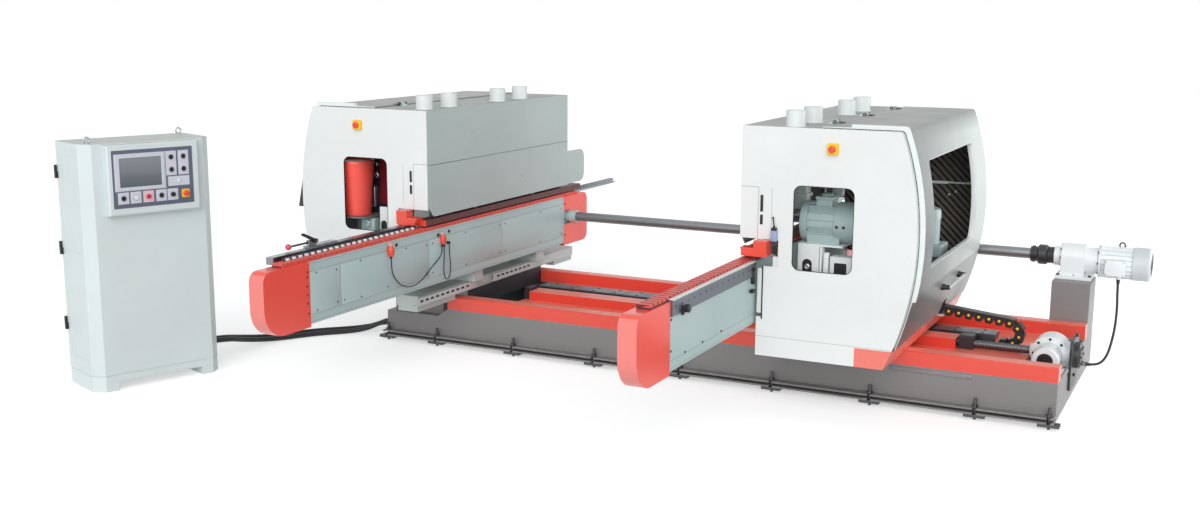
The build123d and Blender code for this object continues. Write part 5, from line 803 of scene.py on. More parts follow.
beam_paint = enamel("beam_grey_green", GREY_GREEN, 0.34, 0.0014, marks=beam_marks)
plate_paint = enamel("plate_grey_green", GREY_GREEN, 0.34, 0.001)
PLATE_EDGES = (BEAM_FRONT, *BEAM_JOINTS, BEAM_REAR)
for side in ("left", "right"):
    dress(beam_paint, side + "_beam")
    plates = [block("plate", outwards(side, BEAM_PLATE_FACE, BEAM_PLATE_BACK),
                    (start + PLATE_GAP, end - PLATE_GAP), (BEAM_PLATE_LOW, BEAM_PLATE_HIGH), 0.0008)
              for start, end in zip(PLATE_EDGES, PLATE_EDGES[1:])]
    finished(joined(side + "_beam_plates", plates), BODY[side], plate_paint)
button_head = turned("button_head", (0, 0, 0), (0, 0, 1), [
    (-0.001, 0.0075), (0.0015, 0.0075), (0.0035, 0.005), (0.0035, 0.0028), (0.0022, 0.0026)], 14)


def screws(name, direction, places, size=1.0):
    """Button-head screws at the given places, all facing one way."""
    own = facing(direction) @ Matrix.Scale(size, 4) @ Matrix.Translation(-middle)
    seats = [Matrix.Translation(middle + Vector(place)) for place in places]
    return spread(name, again(button_head), [seat @ own for seat in seats])


BEAM_SCREWS = (
    (-2.288, 0.826), (-2.104, 0.812), (-1.872, 0.826), (-1.400, 0.826), (-1.170, 0.810), (-1.104, 0.812),
    (-0.700, 0.826), (-0.256, 0.812), (-0.182, 0.812), (0.330, 0.826), (0.660, 0.812), (-2.288, 0.606),
    (-2.099, 0.618), (-2.035, 0.618), (-1.872, 0.606), (-1.599, 0.618), (-1.170, 0.618), (-1.104, 0.618),
    (-0.700, 0.606), (-0.256, 0.618), (-0.182, 0.618), (0.330, 0.606), (0.660, 0.618),
)
BEAM_PLUGS = ((-1.496, 0.862), (-0.900, 0.862), (-1.031, 0.856))
PLUG = [(-0.001, 0.011), (0.004, 0.011), (0.006, 0.008)]
for side in ("left", "right"):
    inwards = (-WAY[side], 0, 0)
    inner = outwards(side, BEAM_PLATE_FACE)[0]
    piece = screws(side + "_beam_screws", inwards, [(inner, *place) for place in BEAM_SCREWS], 0.75)
    finished(piece, BODY[side], dark_bolt)
    plugs = [turned("plug", (FACE[side], *place), inwards, PLUG, 14) for place in BEAM_PLUGS]
    finished(joined(side + "_beam_plugs", plugs), BODY[side], black_plastic)


# Beam ends: pressed steel caps over the conveyor's turns, sprayed coral red, held by button-head screws
# near their corners, with a row of rivets along the front cap's joint.
FACING_FRONT = -0.6
CAP_SCREW_FRONT = -2.365
CAP_SCREW_REAR = 0.722
RIVETS_ALONG = -2.372
RIVETS_LOW = 0.66
RIVET_PITCH = 0.05
RIVET_COUNT = 4
cap_paint = enamel("coral_red_caps", chart(252, 90, 76), 0.22, 0.0014, chart(250, 158, 148),
                   fixed={"Specular IOR Level": 0.6})
cap_front = enamel("coral_cap_front_sheen", chart(240, 134, 126), 0.24, 0.0014, chart(252, 176, 168))
dress(cap_paint, "left_beam_caps", "right_beam_caps")
for side in ("left", "right"):
    # Faces that look forwards get a paler coral: a painted highlight of the glossy paint.
    recoat(side + "_beam_caps", cap_front, lambda place, normal: normal.y < FACING_FRONT)
    inner = outwards(side, -0.006)[0]
    places = [(inner, CAP_SCREW_FRONT, z) for z in (0.60, 0.84)]
    places += [(inner, RIVETS_ALONG, RIVETS_LOW + RIVET_PITCH * step) for step in range(RIVET_COUNT)]
    places += [(inner, CAP_SCREW_REAR, z) for z in (0.60, 0.72, 0.84)]
    piece = screws(side + "_cap_screws", (-WAY[side], 0, 0), places, 0.8)
    finished(piece, BODY[side], dark_bolt)


# Conveyor chains: steel links in a red track, each with a block of red rubber that carries the boards;
# along the left chain, up to the hood, stands a row of white moulded dogs with a grey strip behind them.
TRACK_HIGH = 0.9035
TRACK_EDGE = 0.016
PAD_HIGH = 0.917
DOG_FIRST = -2.456
DOG_PITCH = 0.0555
DOG_COUNT = 23


def distance_out(place, side):
    """How far a place lies outwards from a head's inner face, in a material."""
    return (axis(place, "X") - middle.x - FACE[side]) * WAY[side]


def link_finish(side, pad_colour, track_colour):
    """Red rubber blocks on a dark chain, whose inner edge has the red of the track."""
    def finish(place):
        out = distance_out(place, side)
        dirt = cloud(place, 0.03, 4)
        pad = mixed_colour(ramp(dirt, 0.5, 0.8) * 0.5, pad_colour, toned(pad_colour, 0.6))
        low = axis(place, "Z") < TRACK_HIGH
        shade = mixed_colour(low, pad, track_colour)
        shade = mixed_colour(low * (out < TRACK_EDGE), shade, CORAL)
        return {"Base Color": shade, "Roughness": 0.45 + (dirt - 0.5) * 0.3, "Normal": rounded(place, 0.002)}
    return surface(side + "_chain_blocks", finish, {"Specular IOR Level": 0.4})


dress(link_finish("left", chart(222, 92, 84), chart(72, 54, 52)), "left_chain")
dress(link_finish("right", chart(226, 88, 78), chart(66, 46, 46)), "right_chain")
pad_end = rubber("pad_end_red", chart(96, 44, 42), 0.5)
recoat("right_chain", pad_end, lambda place, normal: abs(normal.y) > 0.5 and place.z > TRACK_HIGH)
strip_white = enamel("strip_white", PANEL_WHITE, 0.4, 0.001)
dog = block("dog", outwards("left", 0.048, 0.068), (-0.011, 0.011),
            (PAD_HIGH - 0.001, PAD_HIGH + 0.013), 0.004, 3)
dog_places = [DOG_FIRST + DOG_PITCH * step for step in range(DOG_COUNT)]
dogs = spread("left_chain_dogs", dog, [Vector((0, y, 0)) for y in dog_places])
finished(dogs, "base", strip_white)
backing = block("left_chain_strip", outwards("left", 0.069, 0.073),
                (DOG_FIRST - 0.03, DOG_FIRST + DOG_PITCH * DOG_COUNT),
                (PAD_HIGH - 0.001, PAD_HIGH + 0.017), 0.001)
finished(backing, "base", rubber("strip_grey", chart(66, 70, 72), 0.45))


# Pressure beams: the red rail with rubber pads under it that holds the boards down on the chain, its
# folded nose, and its two guide rods.
dress(coral_paint, "left_pressure", "right_pressure")
NOSE_BACK = -1.140
ROD_LOW = 1.060
shaded_pressure_red = enamel("shaded_pressure_red", chart(92, 45, 43), 0.5, 0.002, chart(64, 42, 40))
for side in ("left", "right"):
    # Behind the folded nose the rail is painted dark red as painted shade under the hood.
    recoat(side + "_pressure", shaded_pressure_red, lambda place, normal: place.y > NOSE_BACK)
    recoat(side + "_pressure", ground_steel, lambda place, normal: place.z > ROD_LOW)


# Saddles: welded frames that carry the heads on the base; the left one stands on pedestals with two
# bright tie bars, the right one slides on the guideway.
saddle_paint = enamel("pale_saddle", chart(190, 200, 196), 0.4, 0.004)
dress(saddle_paint, "left_saddle", "right_saddle")
TIE_BARS = ((-1.210, -0.470), (-0.240, 0.384))
TIE_HIGH = (0.400, 0.456)
SLOT_FIRST = 0.060
SLOT_PITCH = 0.062
SLOT_MARGIN = 0.080
tie_x = outwards("left", 0.0905)[0]
tie_paint = enamel("tie_bar_grey", chart(204, 212, 211), 0.45, 0.002)
recoat("left_saddle", tie_paint,
       lambda place, normal: place.x > tie_x and TIE_HIGH[0] < place.z < TIE_HIGH[1])
slot = block("slot", outwards("left", 0.0535, 0.0565), (-0.018, 0.018), (0.424, 0.438), 0.0012)
slot_places = []
for start, end in TIE_BARS:
    slot_count = int((end - start - SLOT_MARGIN) / SLOT_PITCH)
    slot_places += [Vector((0, start + SLOT_FIRST + SLOT_PITCH * step, 0)) for step in range(slot_count)]
finished(spread("left_tie_bar_slots", slot, slot_places), "base", black_plastic)


# Left fence: a ground steel rail with its clamp along the left beam, and a tail of small leaning rollers
# behind the beam. A steel lever with a red ball and a black moulded lever clamp it.
dress(ground_steel, "left_fence")
BALL_BACK = -2.321
ball_red = enamel("ball_knob_red", chart(214, 70, 74), 0.2, 0.002, fixed={"Coat Weight": 0.4})
dress(ball_red, "ball_clamp_lever")
recoat("ball_clamp_lever", black_steel, lambda place, normal: place.y > BALL_BACK)
dress(black_plastic, "black_clamp_lever")


# Right rail: a dark anodised bar with a row of holes along the beam's outer edge and a white notched strip
# on top, with a black clamping knob near its front and a clamp beside the hood.
RAIL_STRIP_LOW = 0.8955
NOTCH_PITCH = 0.024
NOTCH_WIDTH = 0.008
NOTCH_RISE = 0.006


def rail_finish(place):
    """Dark anodised metal below, the white strip with its notches above."""
    grain = cloud(place, 0.006, 3)
    metal = mixed_colour(grain, chart(100, 106, 113), chart(122, 128, 136))
    high = axis(place, "Z")
    notch = (axis(place, "Y") % NOTCH_PITCH < NOTCH_WIDTH) * (high < RAIL_STRIP_LOW + NOTCH_RISE)
    strip = mixed_colour(notch, PANEL_WHITE, chart(70, 74, 78))
    white_part = high > RAIL_STRIP_LOW
    return {
        "Base Color": mixed_colour(white_part, metal, strip),
        "Roughness": 0.36 + grain * 0.12,
        "Metallic": 0.6 - white_part * 0.6,
    }


dress(surface("anodised_rail", rail_finish, {}), "right_slot_rail")
rail_face = outwards("right", 0.106)[0]
knob = turned("knob", (rail_face - 0.001, -2.205, 0.838), (1, 0, 0), [
    (0, 0.014), (0.012, 0.014), (0.014, 0.022), (0.034, 0.022), (0.038, 0.017)], 16)
grip = block("grip", (rail_face, rail_face + 0.012), (-2.236, -2.208), (0.806, 0.836), 0.003)
clamp_bits = [
    block("clamp", (rail_face - 0.012, rail_face + 0.010), (-1.206, -1.184), (0.776, 0.852), 0.003),
    block("clamp", (rail_face - 0.012, rail_face + 0.014), (-1.228, -1.180), (0.728, 0.746), 0.003),
    turned("clamp", (rail_face - 0.002, -1.206, 0.862), (1, 0, 0), [
        (0, 0.012), (0.016, 0.012), (0.018, 0.008)], 12),
]
finished(joined("right_rail_clamps", [knob, grip, *clamp_bits]), "right_head", black_plastic)
beam_tab = block("right_beam_tab", outwards("right", 0.093, 0.097), (-1.772, -1.746), (0.618, 0.698), 0.0015)
finished(beam_tab, "right_head", plate_paint)
outer_face = outwards("right", 0.094)[0]
OUTER_SCREWS = ((-1.650, 0.598), (-1.915, 0.596), (-2.150, 0.596), (-2.330, 0.640), (-2.330, 0.800))
outer_screws = [(outer_face, *place) for place in OUTER_SCREWS]
finished(screws("right_beam_outer_screws", (1, 0, 0), outer_screws), "right_head", dark_bolt)


# Hand switches: two pear-shaped moulded switches, orange-red, hanging from pinkish-grey caps on the left
# beam, with black glands for their leads, and a black clip for the end of the second lead.
SWITCH_X = LEAD_X / MILLIMETRES
SWITCH_GRIP = 0.066
SWITCHES = ((-1.583, 0.806, (-1.583,)), (-1.002, 0.791, (-1.015, -0.990)))
PEAR = [(0, 0.013), (0.004, 0.016), (0.018, 0.021), (0.034, 0.023), (0.048, 0.021), (0.058, 0.017),
        (SWITCH_GRIP, 0.013)]
GLAND = [(0, 0.008), (0.015, 0.008), (0.018, 0.006), (0.020, 0.0045)]
switch_red = enamel("switch_red", chart(226, 78, 56), 0.3, 0.001)
switch_cap = enamel("switch_cap_grey", chart(196, 168, 164), 0.4, 0.002)
switch_seat = outwards("left", -0.003)[0]
pears = []
caps = []
glands = []
for y, bottom, leads in SWITCHES:
    pears.append(turned("pear", (SWITCH_X, y, bottom), (0, 0, 1), PEAR))
    caps.append(block("cap", (switch_seat, SWITCH_X + 0.014), (y - 0.014, y + 0.014),
                      (bottom + SWITCH_GRIP - 0.002, bottom + 0.084), 0.005, 3))
    for lead in leads:
        glands.append(turned("gland", (SWITCH_X, lead, bottom + 0.004), (0, 0, -1), GLAND, 14))
glands.append(block("clip", (switch_seat, SWITCH_X + 0.006), (-0.938, -0.922), (0.784, 0.800), 0.002))
switches = finished(joined("left_hand_switches", pears), "base", switch_red)
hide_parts("hand_switches")
finished(joined("left_switch_caps", caps), "base", switch_cap)
finished(joined("left_switch_glands", glands), "base", black_plastic)


# Front panels: bent sheet doors sprayed off-white, each with a hinged leaf beside the beam, black latch
# slots, a thin rubber edge round the window and a yellow box for the emergency stop; the right one
# carries a limit switch.
HOOD_FRONT = -1.143
PANEL_BACK = -1.135
WINDOW_OUT = (0.311, 0.658)
WINDOW_HIGH = (0.866, 1.348)
WINDOW_CORNER = 0.045
LEAF_OUT = 0.105
LEAF_HIGH = 1.325
FOLD_OUT = 0.185
FOLD_LOW = 1.069
JOINT_HALF = 0.002
FOLD_HALF = 0.0015
PLINTH_HIGH = 0.466
LATCH_OUT = (0.117, 0.134)
LATCH_SPANS = {"left": ((1.208, 1.280), (1.130, 1.188)), "right": ((1.186, 1.282), (1.113, 1.169))}


def panel_marks(side):
    """The joint round the leaf, the fold beside it and the seam of the plinth, on the front face."""
    def marks(place, shade):
        out = distance_out(place, side)
        high = axis(place, "Z")
        leaf = (abs(out - LEAF_OUT) < JOINT_HALF) * (high < LEAF_HIGH)
        leaf = leaf + (abs(high - LEAF_HIGH) < JOINT_HALF) * (out < LEAF_OUT)
        fold = (abs(out - FOLD_OUT) < FOLD_HALF) * (high < LEAF_HIGH) * (high > FOLD_LOW)
        lines = ramp(leaf + fold + (abs(high - PLINTH_HIGH) < FOLD_HALF), 0, 1)
        front = axis(place, "Y") < middle.y + HOOD_FRONT + 0.001
        return mixed_colour(lines * front * 0.6, shade, chart(120, 126, 126))
    return marks


def ring(name, y, out, high, corner, width, depth, cuts=0):
    """A plate with rounded corners that faces forwards, or a frame where it has a width."""
    bpy.ops.object.select_all(action="DESELECT")
    centre = ((out[0] + out[1]) / 2, y, (high[0] + high[1]) / 2)
    bpy.ops.mesh.primitive_plane_add(size=1, location=middle + Vector(centre), rotation=(pi / 2, 0, 0))
    piece = bpy.context.object
    piece.name = name
    piece.scale = (abs(out[1] - out[0]), high[1] - high[0], 1)
    bpy.ops.object.transform_apply(location=True, rotation=True, scale=True)
    opened()
    bpy.ops.mesh.bevel(offset=corner, segments=8, affect="VERTICES")
    bpy.ops.mesh.select_all(action="SELECT")
    if width:
        bpy.ops.mesh.inset(thickness=width)
        bpy.ops.mesh.delete(type="FACE")
        bpy.ops.mesh.select_all(action="SELECT")
    if cuts:
        bpy.ops.mesh.subdivide(number_cuts=cuts)
        bpy.ops.mesh.select_all(action="SELECT")
    bpy.ops.mesh.extrude_region_move(TRANSFORM_OT_translate={"value": (0, depth, 0)})
    bpy.ops.mesh.select_all(action="SELECT")
    bpy.ops.mesh.normals_make_consistent(inside=False)
    bpy.ops.mesh.select_mode(type="EDGE")
    bpy.ops.mesh.select_all(action="DESELECT")
    bpy.ops.mesh.edges_select_sharp(sharpness=radians(50))
    bpy.ops.mesh.bevel(offset=(width or depth) / 5, segments=2, affect="EDGES")
    bpy.ops.mesh.select_mode(type="VERT")
    bpy.ops.object.mode_set(mode="OBJECT")
    bpy.ops.object.shade_smooth_by_angle(angle=SMOOTH_BELOW)
    return piece


edge_rubber = rubber("edge_rubber", chart(34, 34, 35), 0.5)
stop_red = enamel("stop_red", chart(240, 72, 44), 0.25, 0.001, fixed={"Coat Weight": 0.3})
panel_white = {}
for side in ("left", "right"):
    panel_white[side] = enamel(side + "_panel_white", PANEL_WHITE, 0.33, 0.002, marks=panel_marks(side))
    dress(panel_white[side], side + "_front_panel")
    recoat(side + "_front_panel", yellow_plastic, lambda place, normal: place.y < HOOD_FRONT - 0.0005)
    dress(stop_red, side + "_estop")
    seal = ring(side + "_window_seal", HOOD_FRONT - 0.001, outwards(side, *WINDOW_OUT), WINDOW_HIGH,
                WINDOW_CORNER, 0.003, 0.010)
    finished(seal, BODY[side], edge_rubber)
    slots = [block("slot", outwards(side, *LATCH_OUT), (HOOD_FRONT - 0.003, HOOD_FRONT + 0.002), span, 0.002)
             for span in LATCH_SPANS[side]]
    finished(joined(side + "_door_latch", slots), BODY[side], black_plastic)
switch_paint = enamel("switch_blue_grey", chart(150, 164, 190), 0.35, 0.002)
box = block("right_limit_switch", outwards("right", 0.190, 0.226),
            (HOOD_FRONT - 0.030, HOOD_FRONT + 0.001), (1.024, 1.086), 0.005, 3)
finished(box, "right_head", switch_paint)
plunger = block("plunger", outwards("right", 0.193, 0.223),
                (HOOD_FRONT - 0.027, HOOD_FRONT - 0.002), (1.084, 1.103), 0.004)
stem = turned("stem", (outwards("right", 0.208)[0], HOOD_FRONT - 0.014, 1.102), (-0.16, 0, 1), [
    (-0.002, 0.006), (0.010, 0.006), (0.012, 0.0035), (0.052, 0.0035), (0.054, 0.006), (0.062, 0.005)], 10)
finished(joined("right_limit_plunger", [plunger, stem]), "right_head", black_plastic)
WORK_GUIDE_ALONG = (PANEL_BACK, -1.070)
WORK_GUIDE_OUT = (0.196, 0.262)
guide = block("left_work_guide", outwards("left", 0.186, 0.262), WORK_GUIDE_ALONG, (0.928, 1.070), 0.003)
finished(guide, "base", black_casting)
guide = block("right_work_guide", outwards("right", *WORK_GUIDE_OUT), WORK_GUIDE_ALONG, (0.943, 0.989), 0.003)
finished(guide, "right_head", black_casting)
stop = block("right_work_stop", outwards("right", *WORK_GUIDE_OUT), WORK_GUIDE_ALONG, (0.868, 0.934), 0.003)
finished(stop, "right_head", panel_white["right"])
edge = block("right_cut_edge", outwards("right", 0.1375, 0.1455), (HOOD_FRONT - 0.003, PANEL_BACK),
             (0.566, 0.876), 0.002)
finished(edge, "right_head", edge_rubber)
bracket = block("right_cut_bracket", outwards("right", 0.109, 0.139), (HOOD_FRONT + 0.002, PANEL_BACK),
                (0.600, 0.862), 0.002)
finished(bracket, "right_head", panel_white["right"])
STAY_OUT = (0.974, 1.045)
STAY_HIGH = (0.989, 1.315)
STAY_ALONG = (HOOD_FRONT + 0.001, HOOD_FRONT + 0.006)
stay = block("left_edge_stay", outwards("left", 0.955, STAY_OUT[1]), STAY_ALONG, STAY_HIGH, 0.001)
opened()
foot = middle + Vector((outwards("left", STAY_OUT[1])[0], HOOD_FRONT, STAY_HIGH[0]))
slant = (STAY_HIGH[0] - STAY_HIGH[1], 0, STAY_OUT[1] - STAY_OUT[0])
bpy.ops.mesh.bisect(plane_co=foot, plane_no=slant, use_fill=True, clear_outer=True)
bpy.ops.object.mode_set(mode="OBJECT")
finished(stay, "base", black_casting)


# Hood shells and outer covers: rolled and folded sheet sprayed pale grey-green, darker grey on the roof;
# each cover has a white lip, a window with a folded edge, three hinges on the roof and a handle on its side.
HOOD_TOP = 1.668
ROOF_LOW = 1.6
BELLY_OUT = -0.72627
BELLY_HIGH = 1.06844
BELLY_RADIUS = 1.73327
COVER_SKIN = 0.006
LIP_BACK = -1.0445
SHELL_SEAM = 1.318
CREASE_HIGH = 0.742
FRONT_SHADE_ALONG = (-1.0, 0.5)
FRONT_SHADE_HIGH = (0.7, 1.7)
ROOF_BLEND_HIGH = (1.56, 1.66)
ROOF_GREY = chart(150, 157, 153)


def belly(high, skin=0.0):
    """How far out the hood's rolled side stands at that height."""
    return BELLY_OUT + sqrt((BELLY_RADIUS + skin) ** 2 - (high - BELLY_HIGH) ** 2)


def shell_marks(place, shade):
    """The joint between the shell's upper and lower sheets."""
    return mixed_colour(seam(place, "Z", SHELL_SEAM, 0.005), shade, SEAM_GREY)


def cover_marks(place, shade):
    """Painted shade on the front, the foot and below the crease; roof grey on the top; the crease line."""
    high = axis(place, "Z")
    along = axis(place, "Y") - middle.y
    front_shade = (1 - ramp(along, *FRONT_SHADE_ALONG)) * (1 - ramp(high, *FRONT_SHADE_HIGH) * 0.32)
    # Painted shade: darker towards the front and the foot.
    shade = mixed_colour(front_shade * 0.95, shade, chart(70, 80, 78))
    # Painted shade on the part below the crease, which curves away under the cover.
    shade = mixed_colour((high < CREASE_HIGH) * 0.45, shade, chart(84, 96, 98))
    shade = mixed_colour(ramp(high, *ROOF_BLEND_HIGH) * 0.9, shade, toned(ROOF_GREY, 0.72))
    return mixed_colour(seam(place, "Z", CREASE_HIGH, 0.004) * 0.6, shade, SEAM_GREY)


shell_paint = enamel("grey_green_shell", chart(180, 195, 193), 0.32, 0, marks=shell_marks)
cover_paint = enamel("grey_green_cover", chart(199, 208, 205), 0.38, 0, marks=cover_marks)
roof_paint = enamel("roof_darker_grey", ROOF_GREY, 0.45, 0)
lip_white = enamel("lip_white", chart(232, 238, 237), 0.30, 0.002)
port_white = enamel("port_white", chart(224, 230, 229), 0.35, 0.002)
dress(shell_paint, "left_hood_shell", "right_hood_shell")
dress(cover_paint, "left_cover", "right_cover")
dress(port_white, "left_dust_ports", "right_dust_ports")
# The skirt's paler coral is a painted sheen of the glossy red paint.
skirt_coral_sheen = enamel("skirt_coral_sheen", chart(238, 124, 112), 0.28, 0.003, chart(250, 176, 166))
dress(skirt_coral_sheen, "right_skirt")
HINGE_OUT = 0.434
HINGE_PLACES = (-0.783, -0.162, 0.483)
KNUCKLE_HALF = 0.014
KNUCKLE_REACH = 0.052
HANDLE_ENDS = (-0.260, 0.190)
HANDLE_FOOT = [(0, 0.020), (0.014, 0.020), (0.028, 0.016), (0.044, 0.0145), (0.054, 0.013)]
HANDLE_HIGH = 0.672
GRIP_HALF = 0.012
GRIP_CLEAR = 0.004
COVER_WINDOW_ALONG = (-0.761, 0.411)
COVER_WINDOW_HIGH = (0.871, 1.487)
COVER_WINDOW_CORNER = 0.031
FRAME_DEPTH = 0.030
FRAME_WIDTH = 0.005
FRAME_CUTS = 6
ROOF_CORNER = 0.028
BAND_LOW = {"left": 0.642, "right": 0.472}
BAND_END = 0.470
BAND_ALONG = (-1.1352, -1.0765)
BAND_DROP = 0.002
BAND_THICK = 0.006
BAND_STEPS = 24
CORNER_STEPS = 8
band_grey = enamel("band_grey", chart(196, 204, 202), 0.35, 0)
handle_grey = bare_steel("handle_aluminium", chart(190, 196, 198), 0.35, metal=0.6)


def window_frame(side):
    """The folded edge of a cover's window: a frame let into the rolled sheet."""
    piece = ring(side + "_cover_frame", 0, COVER_WINDOW_ALONG, COVER_WINDOW_HIGH, COVER_WINDOW_CORNER,
                 FRAME_WIDTH, FRAME_DEPTH, FRAME_CUTS)
    for point in piece.data.vertices:
        along, depth, high = point.co - middle
        point.co = middle + Vector((outwards(side, belly(high, COVER_SKIN - 0.001) - depth)[0], along, high))
    opened()
    faced_out()
    return piece


def edge_band(side):
    """The strip between a front panel and its cover, bent along the hood's outline and the roof's corner."""
    corner_high = HOOD_TOP - ROOF_CORNER
    corner_out = BELLY_OUT + sqrt((BELLY_RADIUS - ROOF_CORNER) ** 2 - (corner_high - BELLY_HIGH) ** 2)
    start = atan2(corner_high - BELLY_HIGH, corner_out - BELLY_OUT)
    low = BAND_LOW[side]
    high = BELLY_HIGH + BELLY_RADIUS * sin(start)
    levels = [low + (high - low) * step / BAND_STEPS for step in range(BAND_STEPS)]
    line = [(belly(level, -BAND_DROP), level) for level in levels]
    radius = ROOF_CORNER - BAND_DROP
    for step in range(CORNER_STEPS + 1):
        angle = start + (pi / 2 - start) * step / CORNER_STEPS
        line.append((corner_out + radius * cos(angle), corner_high + radius * sin(angle)))
    line.append((BAND_END, HOOD_TOP - BAND_DROP))
    last = len(line) - 1
    bpy.ops.object.select_all(action="DESELECT")
    bpy.ops.mesh.primitive_grid_add(x_subdivisions=last, y_subdivisions=1, size=last)
    piece = bpy.context.object
    piece.name = side + "_edge_band"
    for point in piece.data.vertices:
        out, level = line[round(point.co.x + last / 2)]
        along = BAND_ALONG[0 if point.co.y < 0 else 1]
        point.co = middle + Vector((outwards(side, out)[0], along, level))
    opened()
    bpy.ops.mesh.normals_make_consistent(inside=False)
    bpy.ops.mesh.solidify(thickness=BAND_THICK)
    faced_out()
    bpy.ops.object.shade_smooth_by_angle(angle=SMOOTH_BELOW)
    return piece


def on_roof(place, normal):
    """The test for a hood's upper faces."""
    return normal.z > FACING_UP and ROOF_LOW < place.z < HOOD_TOP + 0.002


def on_hinge(side):
    """The test for the knuckles of a cover's hinges."""
    hinge_x = outwards(side, HINGE_OUT)[0]
    return lambda place, normal: (
        place.z > HOOD_TOP and abs(place.x - hinge_x) < KNUCKLE_HALF
        and any(abs(place.y - y) < KNUCKLE_REACH for y in HINGE_PLACES))


def on_handle(side):
    """The test for the grip of a cover's handle."""
    grip_x = outwards(side, belly(HANDLE_HIGH, COVER_SKIN) + GRIP_CLEAR)[0]
    return lambda place, normal: (
        abs(place.z - HANDLE_HIGH) < GRIP_HALF and (place.x - grip_x) * WAY[side] > 0)


def hinge_leaves(side, half, out, reach, level):
    """The leaves of a cover's hinges on one half, the roof or the cover."""
    high = (level - 0.001, level + 0.006)
    leaves = [block("leaf", outwards(side, *out), (y - reach, y + reach), high, 0.003, 3)
              for y in HINGE_PLACES]
    return joined(f"{side}_hinge_{half}_leaves", leaves)


for side in ("left", "right"):
    cover = side + "_cover"
    recoat(side + "_hood_shell", roof_paint, on_roof)
    recoat(cover, lip_white, lambda place, normal: place.y < LIP_BACK)
    recoat(cover, black_plastic, on_hinge(side))
    recoat(cover, handle_grey, on_handle(side))
    leaves = hinge_leaves(side, "roof", (0.394, 0.424), 0.019, HOOD_TOP)
    finished(leaves, BODY[side], port_white)
    leaves = hinge_leaves(side, "cover", (0.446, 0.480), 0.036, HOOD_TOP + COVER_SKIN)
    finished(leaves, cover, black_plastic)
    foot_x = outwards(side, belly(HANDLE_HIGH, COVER_SKIN) - 0.006)[0]
    feet = [turned("foot", (foot_x, y, HANDLE_HIGH), (WAY[side], 0, 0), HANDLE_FOOT) for y in HANDLE_ENDS]
    finished(joined(side + "_handle_feet", feet), cover, black_plastic)
    finished(window_frame(side), cover, lip_white)
    finished(edge_band(side), BODY[side], band_grey)


# Foam: dark ribbed sound-absorbing foam glued inside the hoods on the rear wall and the inner side, its ribs
# running slantwise, held by a pale clamping strip and moulded pins.
FOAM_PITCH = 0.034
FOAM_RISE = 0.017
FOAM_BACK = 0.008
FOAM_HIGH = (0.665, 1.645)
FOAM_OUT = (0.055, 0.985)
FOAM_CLEAR = 0.030


def foam_finish(place):
    """Dark foam, sooty in patches, with painted light on the flanks of its ribs that face up."""
    soot = cloud(place, 0.09, 4)
    shade = mixed_colour(ramp(soot, 0.35, 0.7), chart(58, 54, 51), chart(72, 67, 62))
    upward = axis(place.node("ShaderNodeNewGeometry", {}, {}, "True Normal"), "Z")
    # Painted light: the ribs' upward flanks are paler.
    shade = mixed_colour(ramp(upward, 0.1, 0.4), shade, chart(116, 110, 102))
    return {
        "Base Color": shade,
        "Roughness": 0.85 + (soot - 0.5) * 0.2,
        "Normal": embossed(cloud(place, 0.003, 3), 0.0006),
    }


foam_dark = surface("ribbed_foam", foam_finish, {"Specular IOR Level": 0.25})


def foam(name, side, width, height, place, turn, cuts=()):
    """A sheet of ribbed foam: a corrugated sheet turned slantwise and trimmed by the given cuts."""
    bpy.ops.object.select_all(action="DESELECT")
    reach = (width + height) / sqrt(2)
    count = 2 * int(reach / FOAM_PITCH)
    bpy.ops.mesh.primitive_grid_add(x_subdivisions=count, y_subdivisions=1, size=reach, location=(0, 0, 0))
    piece = bpy.context.object
    piece.name = name
    bpy.ops.object.mode_set(mode="EDIT")
    bpy.ops.mesh.select_all(action="DESELECT")
    bpy.ops.object.mode_set(mode="OBJECT")
    columns = sorted({round(point.co.x, 5) for point in piece.data.vertices})
    ridge = set(columns[1::2])
    for point in piece.data.vertices:
        point.select = round(point.co.x, 5) in ridge
    bpy.ops.object.mode_set(mode="EDIT")
    bpy.ops.mesh.select_mode(type="VERT")
    bpy.ops.transform.translate(value=(0, 0, FOAM_RISE))
    bpy.ops.object.mode_set(mode="OBJECT")
    piece.rotation_euler = (0, 0, radians(45))
    bpy.ops.object.transform_apply(location=True, rotation=True, scale=True)
    bpy.ops.object.mode_set(mode="EDIT")
    edges = [((way, 0, 0), width / 2) for way in (1, -1)]
    edges += [((0, way, 0), height / 2) for way in (1, -1)]
    for way, limit in [*edges, *cuts]:
        bpy.ops.mesh.select_all(action="SELECT")
        bpy.ops.mesh.bisect(plane_co=Vector(way) * limit, plane_no=way, clear_outer=True)
    bpy.ops.mesh.select_all(action="SELECT")
    bpy.ops.mesh.extrude_region_move(TRANSFORM_OT_translate={"value": (0, 0, -FOAM_BACK)})
    faced_out()
    piece.matrix_world = Matrix.Translation(middle + Vector(place)) @ turn
    bpy.ops.object.transform_apply(location=True, rotation=True, scale=True)
    return finished(piece, BODY[side], foam_dark)


